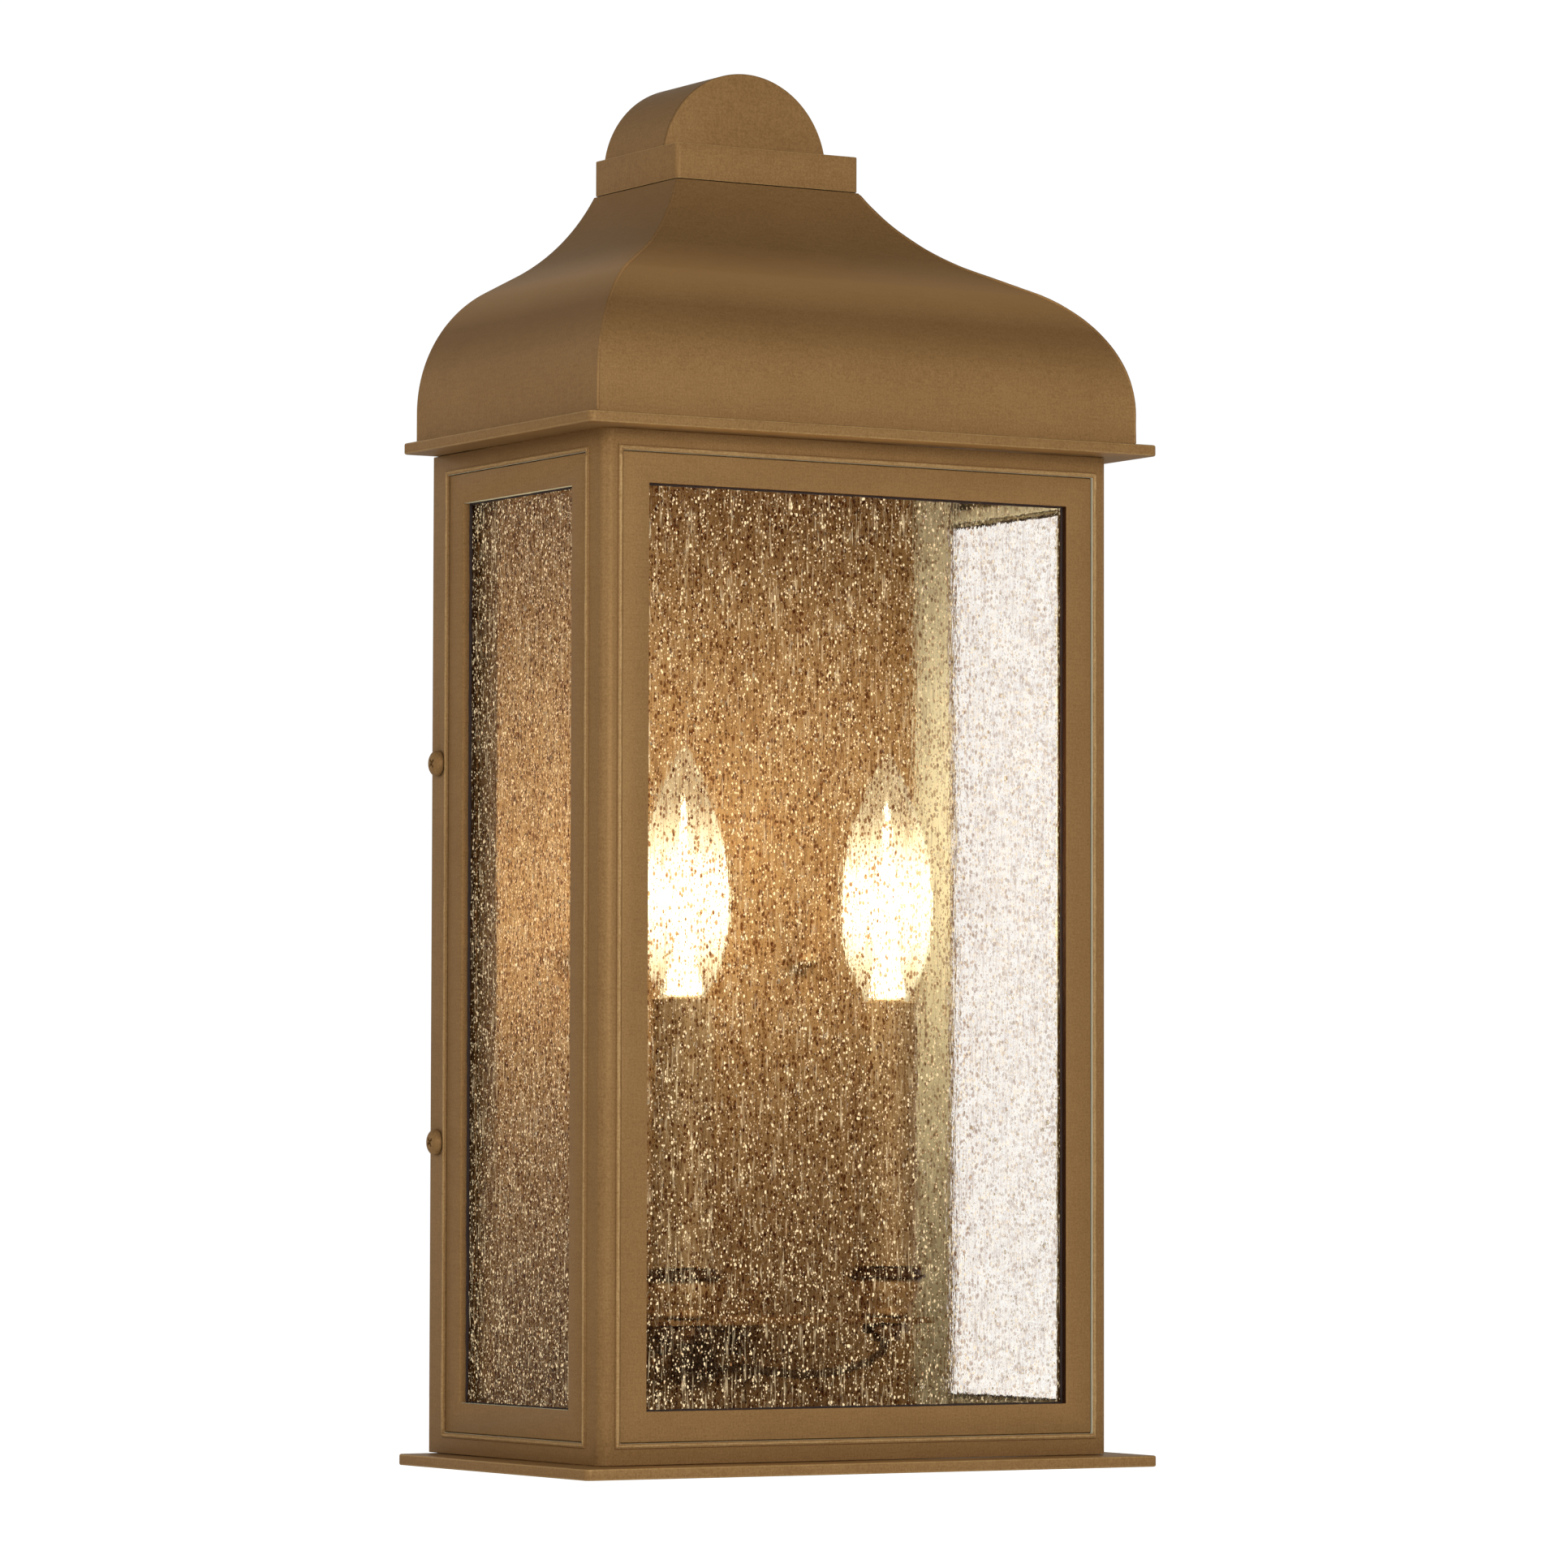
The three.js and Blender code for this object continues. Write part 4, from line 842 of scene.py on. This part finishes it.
def make_filament(word, at, base):
    """The lit glass stem, and the filament coiled round half of its top."""
    foot = base + 1.3 * MM
    below = [(0, 0), (6.4, 0), (5.6, 7), (4.2, 14), (3.8, 21)]
    beside = [(5.0, -3), (5.4, 3), (2.6, 9), (1.5, 20), (0.7, 34), (0, 38)]
    outline = [(r * MM, foot + z * MM) for r, z in below] + [(r * MM, FILAMENT_Z + z * MM) for r, z in beside]
    verts, faces = lathe(rounded(outline, 0.6 * MM), at, 32)
    stem = piece(f"bulb_stem_{word}", verts, faces, f"bulb_{word}", "filament", STEM)
    path = []
    steps = 260
    for k in range(steps + 1):
        sweep = COIL_START + math.pi * (k / steps)
        angle = 2 * math.pi * COIL_TURNS * k / steps
        r = COIL_REACH + COIL_RADIUS * math.cos(angle)
        rise = COIL_RISE * math.sin(math.pi * k / steps)
        path.append((at[0] + r * math.cos(sweep), at[1] + r * math.sin(sweep),
                     FILAMENT_Z + rise + COIL_RADIUS * math.sin(angle)))
    coil = piece(f"bulb_coil_{word}", *tube(path, 0.45 * MM, 6), f"bulb_{word}", "filament", FILAMENT,
                 [f"bulb_filament_{word}"])
    for lit in (stem, coil):
        lit.visible_diffuse = False
        lit.visible_shadow = False


def light_lamp(word, at):
    """A small warm light in front of the bulb, which throws its light and isn't seen itself."""
    lamp = bpy.data.lights.new(f"lamp_light_{word}", "POINT")
    lamp.energy = LAMP_WATTS
    lamp.color = (1.0, 0.95, 0.84)
    lamp.shadow_soft_size = 9 * MM
    light = bpy.data.objects.new(f"lamp_light_{word}", lamp)
    bpy.context.scene.collection.objects.link(light)
    light.location = (at[0], at[1] - 24 * MM, FILAMENT_Z + 44 * MM)
    light.visible_camera = False
    light.visible_glossy = False
    light.visible_transmission = False
    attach(light, f"bulb_{word}")


def make_lamp(word, side):
    at = (side * LAMP_X, LAMP_Y)
    base = SLEEVE_TOP + GAP
    make_candle(word, at)
    make_envelope(word, at, base)
    make_screw_cap(word, at, base)
    make_filament(word, at, base)
    light_lamp(word, at)


# ---------------------------------------------------------------- seeds in the panes


def icosphere():
    bm = bmesh.new()
    bmesh.ops.create_icosphere(bm, subdivisions=1, radius=1)
    verts = np.array([v.co[:] for v in bm.verts])
    faces = np.array([[v.index for v in f.verts] for f in bm.faces])
    bm.free()
    return verts, faces


def make_seeds(word, count, seed):
    """Small bubbles drawn out upright, scattered through one pane."""
    low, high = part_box(f"window_glass_{word}")
    rng = np.random.default_rng(seed)
    thin = 1 if word == "front" else 0
    flat = 0 if word == "front" else 1
    radius = np.clip(rng.lognormal(math.log(0.2), 0.45, count), 0.1, 0.75) * MM
    tall = radius * rng.uniform(1.0, 1.9, count)
    margin = 0.9 * MM
    centre = np.zeros((count, 3))
    centre[:, flat] = rng.uniform(low[flat] + margin, high[flat] - margin, count)
    centre[:, 2] = rng.uniform(low[2] + 2 * margin, high[2] - 2 * margin, count)
    centre[:, thin] = rng.uniform(low[thin] + margin, high[thin] - margin, count)
    size = np.stack([radius, radius, tall], axis=1)
    verts, faces = icosphere()
    all_verts = (centre[:, None, :] + size[:, None, :] * verts[None]).reshape(-1, 3)
    all_faces = (faces[None] + (np.arange(count) * len(verts))[:, None, None]).reshape(-1, 3)
    mesh = bpy.data.meshes.new(f"glass_seeds_{word}")
    mesh.from_pydata(all_verts.tolist(), [], all_faces.tolist())
    mesh.polygons.foreach_set("use_smooth", [True] * len(mesh.polygons))
    mesh.materials.append(SEEDS)
    obj = bpy.data.objects.new(f"glass_seeds_{word}", mesh)
    bpy.context.scene.collection.objects.link(obj)
    obj.visible_shadow = False
    obj.visible_diffuse = False
    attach(obj, "cage")


def make_bush_membrane():
    """The slit rubber disc in the wire bush, drawn in towards the leads."""
    low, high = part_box("wire_bush")
    middle_x, middle_z = (low.x + high.x) / 2, (low.z + high.z) / 2
    back = high.y - 1.2 * MM
    rings = ((5.3, 0.0), (5.2, 0.5), (4.6, 0.9), (3.4, 0.9), (2.2, 1.6), (0.9, 1.8))
    sides = 32
    verts = [(middle_x, back - 2.6 * MM, middle_z), (middle_x, back, middle_z)]
    for r, rise in rings:
        for k in range(sides):
            turn = 2 * math.pi * k / sides
            verts.append((middle_x + r * MM * math.cos(turn), back - (rise + 0.8) * MM,
                          middle_z + r * MM * math.sin(turn)))
    faces = []
    for ring in range(len(rings) - 1):
        for k in range(sides):
            a, b = 2 + ring * sides + k, 2 + ring * sides + (k + 1) % sides
            faces.append((a, a + sides, b + sides, b))
    last = 2 + (len(rings) - 1) * sides
    for k in range(sides):
        faces.append((0, last + (k + 1) % sides, last + k))
        faces.append((1, 2 + k, 2 + (k + 1) % sides))
    piece("bush_membrane", verts, faces, "wall_unit", "black_plastic", SLEEVING)


# ---------------------------------------------------------------- beads round the windows


def uneven_loop(word, place, out, step, shake, seed):
    """A slightly shaky loop round one window, out from its frame's edge, in the plane at the given place."""
    low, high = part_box(f"window_frame_{word}")
    flat = 0 if word == "front" else 1
    near, far = low[flat] - out, high[flat] + out
    bottom, top = low.z - out, high.z + out
    around = ((near, bottom), (far, bottom), (far, top), (near, top))
    corners = [Vector((u, place, z)) if flat == 0 else Vector((place, u, z)) for u, z in around]
    rng = np.random.default_rng(seed)
    path = []
    for a, b in zip(corners, corners[1:] + corners[:1]):
        steps = round((b - a).length / step)
        for k in range(steps):
            path.append(a.lerp(b, k / steps) + Vector(rng.normal(0, shake, 3)))
    return path


def make_window_bead(word, seed):
    """A thin, uneven painted bead on the lip around one window, its paint lighter than the frame's:
    chipped-paint wear and a painted highlight.
    """
    low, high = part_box("cage_shell")
    sink = 0.45 * MM
    place = {"front": low.y + sink, "left": low.x + sink, "right": high.x - sink}[word]
    path = uneven_loop(word, place, WINDOW_LIP - FRAME_FLANGE, 2.5 * MM, 0.05 * MM, seed)
    piece(f"window_bead_{word}", *tube(path, 0.78 * MM, 8, 0.1, seed, True), "cage", "bronze_gold", BEAD_PAINT_HIGHLIT)


def make_shadow_strip(word, seed):
    """A dark, slightly uneven strip where one pane meets its frame: painted shadow along the joint."""
    low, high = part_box(f"window_frame_{word}")
    depth = 3.1 * MM
    place = {"front": low.y + depth, "left": low.x + depth, "right": high.x - depth}[word]
    path = uneven_loop(word, place, -(FRAME_BAR + FRAME_FLANGE), 3 * MM, 0.06 * MM, seed)
    piece(f"window_shadow_strip_{word}", *tube(path, 0.62 * MM, 8, 0.15, seed, True), "cage", "bronze_gold", PAINTED_SHADOW_STRIP)


# ---------------------------------------------------------------- side screws


def make_screw(word, level):
    """A pan-head screw with a deep cross recess."""
    name = f"side_screw_{word}_{level}"
    low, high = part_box(name)
    side = -1 if word == "left" else 1
    seat = (low.x if side < 0 else high.x) - side * SCREW_HEAD_HEIGHT
    centre = Vector(((low.x + high.x) / 2, (low.y + high.y) / 2, (low.z + high.z) / 2))
    r, h = SCREW_HEAD_R, SCREW_HEAD_HEIGHT
    profile = [
        (0, -SCREW_GRIP), (2 * MM, -SCREW_GRIP), (2 * MM, 0), (r, 0), (r, h * 0.28), (r * 0.93, h * 0.58),
        (r * 0.7, h * 0.87), (r * 0.36, h), (0, h),
    ]
    verts, faces = lathe(rounded(profile, 0.7 * MM), (0, 0), 48)
    body = f"screw_{word}_{level}"
    head = piece(f"cross_head_{body}", verts, faces, body, "bronze_gold", PAINT, [name])
    arm, slot, deep = 2.4 * MM, 0.55 * MM, 1.5 * MM
    cutter = []
    for a, b in ((arm, slot), (slot, arm)):
        box_verts = [(sx * a * f, sy * b * f, z) for z, f in ((h - deep, 0.62), (h + 1 * MM, 1.0))
                     for sx, sy in ((-1, -1), (1, -1), (1, 1), (-1, 1))]
        box_faces = [(3, 2, 1, 0), (4, 5, 6, 7), (0, 1, 5, 4), (1, 2, 6, 5), (2, 3, 7, 6), (3, 0, 4, 7)]
        cutter.append((box_verts, box_faces))
    for k, (box_verts, box_faces) in enumerate(cutter):
        mesh = bpy.data.meshes.new(f"cutter_{k}")
        mesh.from_pydata(box_verts, [], box_faces)
        tool = bpy.data.objects.new(f"cutter_{k}", mesh)
        bpy.context.scene.collection.objects.link(tool)
        cut = head.modifiers.new("cut", "BOOLEAN")
        cut.operation = "DIFFERENCE"
        cut.object = tool
        cut.solver = "EXACT"
        bpy.context.view_layer.update()
        solid = bpy.data.meshes.new_from_object(head.evaluated_get(bpy.context.evaluated_depsgraph_get()))
        head.modifiers.clear()
        head.data = solid
        bpy.data.objects.remove(tool)
    turn = Matrix.Rotation(side * math.pi / 2, 4, "Y") @ Matrix.Rotation(math.radians(36), 4, "Z")
    head.data.transform(Matrix.Translation((seat, centre.y, centre.z)) @ turn)
    shade(head)


# ---------------------------------------------------------------- CAD nodes that stay

KEPT = {
    "wall_pan": (LAMPLIT_PAN_PAINT, 0.3),
    "mounting_strap": (ZINC, 0.3),
    "ground_screw": (GREEN, 0.2),
    "wire_bush": (SLEEVING, 0.2),
    "candle_bracket": (PAINT, 0.3),
    "cage_shell": (WALL_PAINT_LAMPLIT_INSIDE, 0.25),
    "eave_plate": (PAINT, 0.55),
    "base_plate": (PAINT, 0.55),
    "roof_back": (PAINT, 0.2),
    "roof_collar": (PAINT, 0.5),
}


def dress_nodes():
    for name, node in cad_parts.items():
        if name in KEPT:
            material, width = KEPT[name]
        elif name in ("window_frame_front", "glass_retainer_front"):
            material, width = FRAME_PAINT_SHADED_REVEAL, 0.25
        elif name.startswith(("window_frame", "glass_retainer")):
            material, width = WALL_PAINT_LAMPLIT_INSIDE, 0.25
        elif name.startswith("cap_nut"):
            material, width = LAMPLIT_TUBE_PAINT, 0.25
        elif name.startswith(("lamp_nipple", "nipple_nut", "bracket_rivet")):
            material, width = BRONZE, 0.15
        elif name.startswith("pan_stud"):
            material, width = ZINC, 0.15
        elif name.startswith("lamp_socket"):
            material, width = PLASTIC, 0.2
        elif name.startswith("lamp_lead"):
            material, width = SLEEVING, 0
        elif name.startswith("window_glass"):
            material, width = PANE, 0
        else:
            continue
        node.data.materials.clear()
        node.data.materials.append(material)
        # Their rounded edges take the lighter paint: wear and painted highlight.
        if name in ("eave_plate", "base_plate", "roof_collar"):
            node.data.materials.append(EDGE_WEAR_AND_HIGHLIGHT)
            soften(node, width * MM, 2, True)
        elif width:
            soften(node, width * MM)
        elif not name.startswith("window_glass"):
            shade(node)


# ---------------------------------------------------------------- surroundings

SKY_TINT = (1.0, 0.95, 0.86)
SKY_SIDE = 1.04
SKY_TOP = 0.08
SKY_BEHIND = 0.85
FLOOR_GLOW_AS_LIGHT = 0.2
FLOOR_GLOW_AS_SEEN = 0.85


def make_floor():
    n = Nodes("pale_floor")
    cloud = n.noise(n.place(), 3, 3)
    shader = n.add(
        "ShaderNodeBsdfPrincipled",
        Base_Color=n.blend(cloud, rgb(0.86, 0.86, 0.86), rgb(0.9, 0.9, 0.9)),
        Roughness=0.9,
        Emission_Color=rgb(1, 1, 1),
    )
    glow = n.between(seen_directly(n.tree), 0.0, 1.0, FLOOR_GLOW_AS_LIGHT, FLOOR_GLOW_AS_SEEN)
    n.tree.links.new(glow, shader.inputs["Emission Strength"])
    n.show(shader.outputs[0])
    mesh = bpy.data.meshes.new("floor")
    bm = bmesh.new()
    bmesh.ops.create_circle(bm, cap_ends=True, segments=96, radius=9)
    bm.to_mesh(mesh)
    bm.free()
    mesh.materials.append(n.material)
    floor = bpy.data.objects.new("floor", mesh)
    bpy.context.scene.collection.objects.link(floor)
    floor.location.z = cad_box[0][2] - FLOOR_DROP


def seen_directly(tree):
    """1 for what is seen, also through glass, and 0 for light that falls on things."""
    path = tree.nodes.new("ShaderNodeLightPath")
    either = tree.nodes.new("ShaderNodeMath")
    either.operation = "MAXIMUM"
    tree.links.new(path.outputs["Is Camera Ray"], either.inputs[0])
    tree.links.new(path.outputs["Is Transmission Ray"], either.inputs[1])
    return either.outputs[0]


def make_world():
    """White as seen; as light, soft from the front and the sides, greyer overhead and behind."""
    world = bpy.data.worlds.new("studio")
    world.use_nodes = True
    tree = world.node_tree
    tree.nodes.clear()

    def ramp(value, start, end, to_start, to_end):
        node = tree.nodes.new("ShaderNodeMapRange")
        node.interpolation_type = "SMOOTHSTEP"
        tree.links.new(value, node.inputs["Value"])
        for key, number in zip(("From Min", "From Max", "To Min", "To Max"), (start, end, to_start, to_end)):
            node.inputs[key].default_value = number
        return node.outputs[0]

    coords = tree.nodes.new("ShaderNodeTexCoord")
    split = tree.nodes.new("ShaderNodeSeparateXYZ")
    tree.links.new(coords.outputs["Generated"], split.inputs[0])
    upward = ramp(split.outputs["Z"], 0.15, 0.8, SKY_SIDE, SKY_TOP)
    behind = ramp(split.outputs["Y"], -0.1, 0.8, 1.0, SKY_BEHIND)
    product = tree.nodes.new("ShaderNodeMath")
    product.operation = "MULTIPLY"
    tree.links.new(upward, product.inputs[0])
    tree.links.new(behind, product.inputs[1])
    strength = tree.nodes.new("ShaderNodeMix")
    tree.links.new(seen_directly(tree), strength.inputs[0])
    tree.links.new(product.outputs[0], strength.inputs[2])
    strength.inputs[3].default_value = 1.03
    tint = tree.nodes.new("ShaderNodeMix")
    tint.data_type = "RGBA"
    tree.links.new(seen_directly(tree), tint.inputs[0])
    tint.inputs[6].default_value = rgb(*SKY_TINT)
    tint.inputs[7].default_value = rgb(1, 1, 1)
    background = tree.nodes.new("ShaderNodeBackground")
    tree.links.new(tint.outputs[2], background.inputs["Color"])
    out = tree.nodes.new("ShaderNodeOutputWorld")
    tree.links.new(strength.outputs[0], background.inputs["Strength"])
    tree.links.new(background.outputs[0], out.inputs["Surface"])
    bpy.context.scene.world = world


def add_panel(name, place, target, size, watts):
    data = bpy.data.lights.new(name, "AREA")
    data.shape = "RECTANGLE"
    data.size, data.size_y = size
    data.energy = watts
    data.color = (0.94, 1.0, 1.10)
    light = bpy.data.objects.new(name, data)
    bpy.context.scene.collection.objects.link(light)
    light.location = place
    aim = Vector(target) - Vector(place)
    light.rotation_mode = "QUATERNION"
    light.rotation_quaternion = aim.to_track_quat("-Z", "Y")
    light.visible_camera = False
    light.visible_transmission = False


# ---------------------------------------------------------------- all together

make_camera()
make_world()
make_floor()
add_panel("side_panel", (-1.5, -0.5, 0.85), (-0.05, -0.06, 0.15), (0.8, 0.8), 4)
add_panel("key_panel", (-0.3, -1.5, 0.3), (0, -0.06, 0.12), (0.9, 0.7), 8.5)
bpy.context.scene.view_settings.view_transform = "Standard"

dress_nodes()
make_roof()
make_dome()
make_bush_membrane()
for word, side in (("left", -1), ("right", 1)):
    make_lamp(word, side)
    for level in ("lower", "upper"):
        make_screw(word, level)
for word, count, seed in (("front", 3000, 3), ("left", 1500, 5), ("right", 1500, 7)):
    make_seeds(word, count, seed)
    make_window_bead(word, seed + 20)
    make_shadow_strip(word, seed + 40)
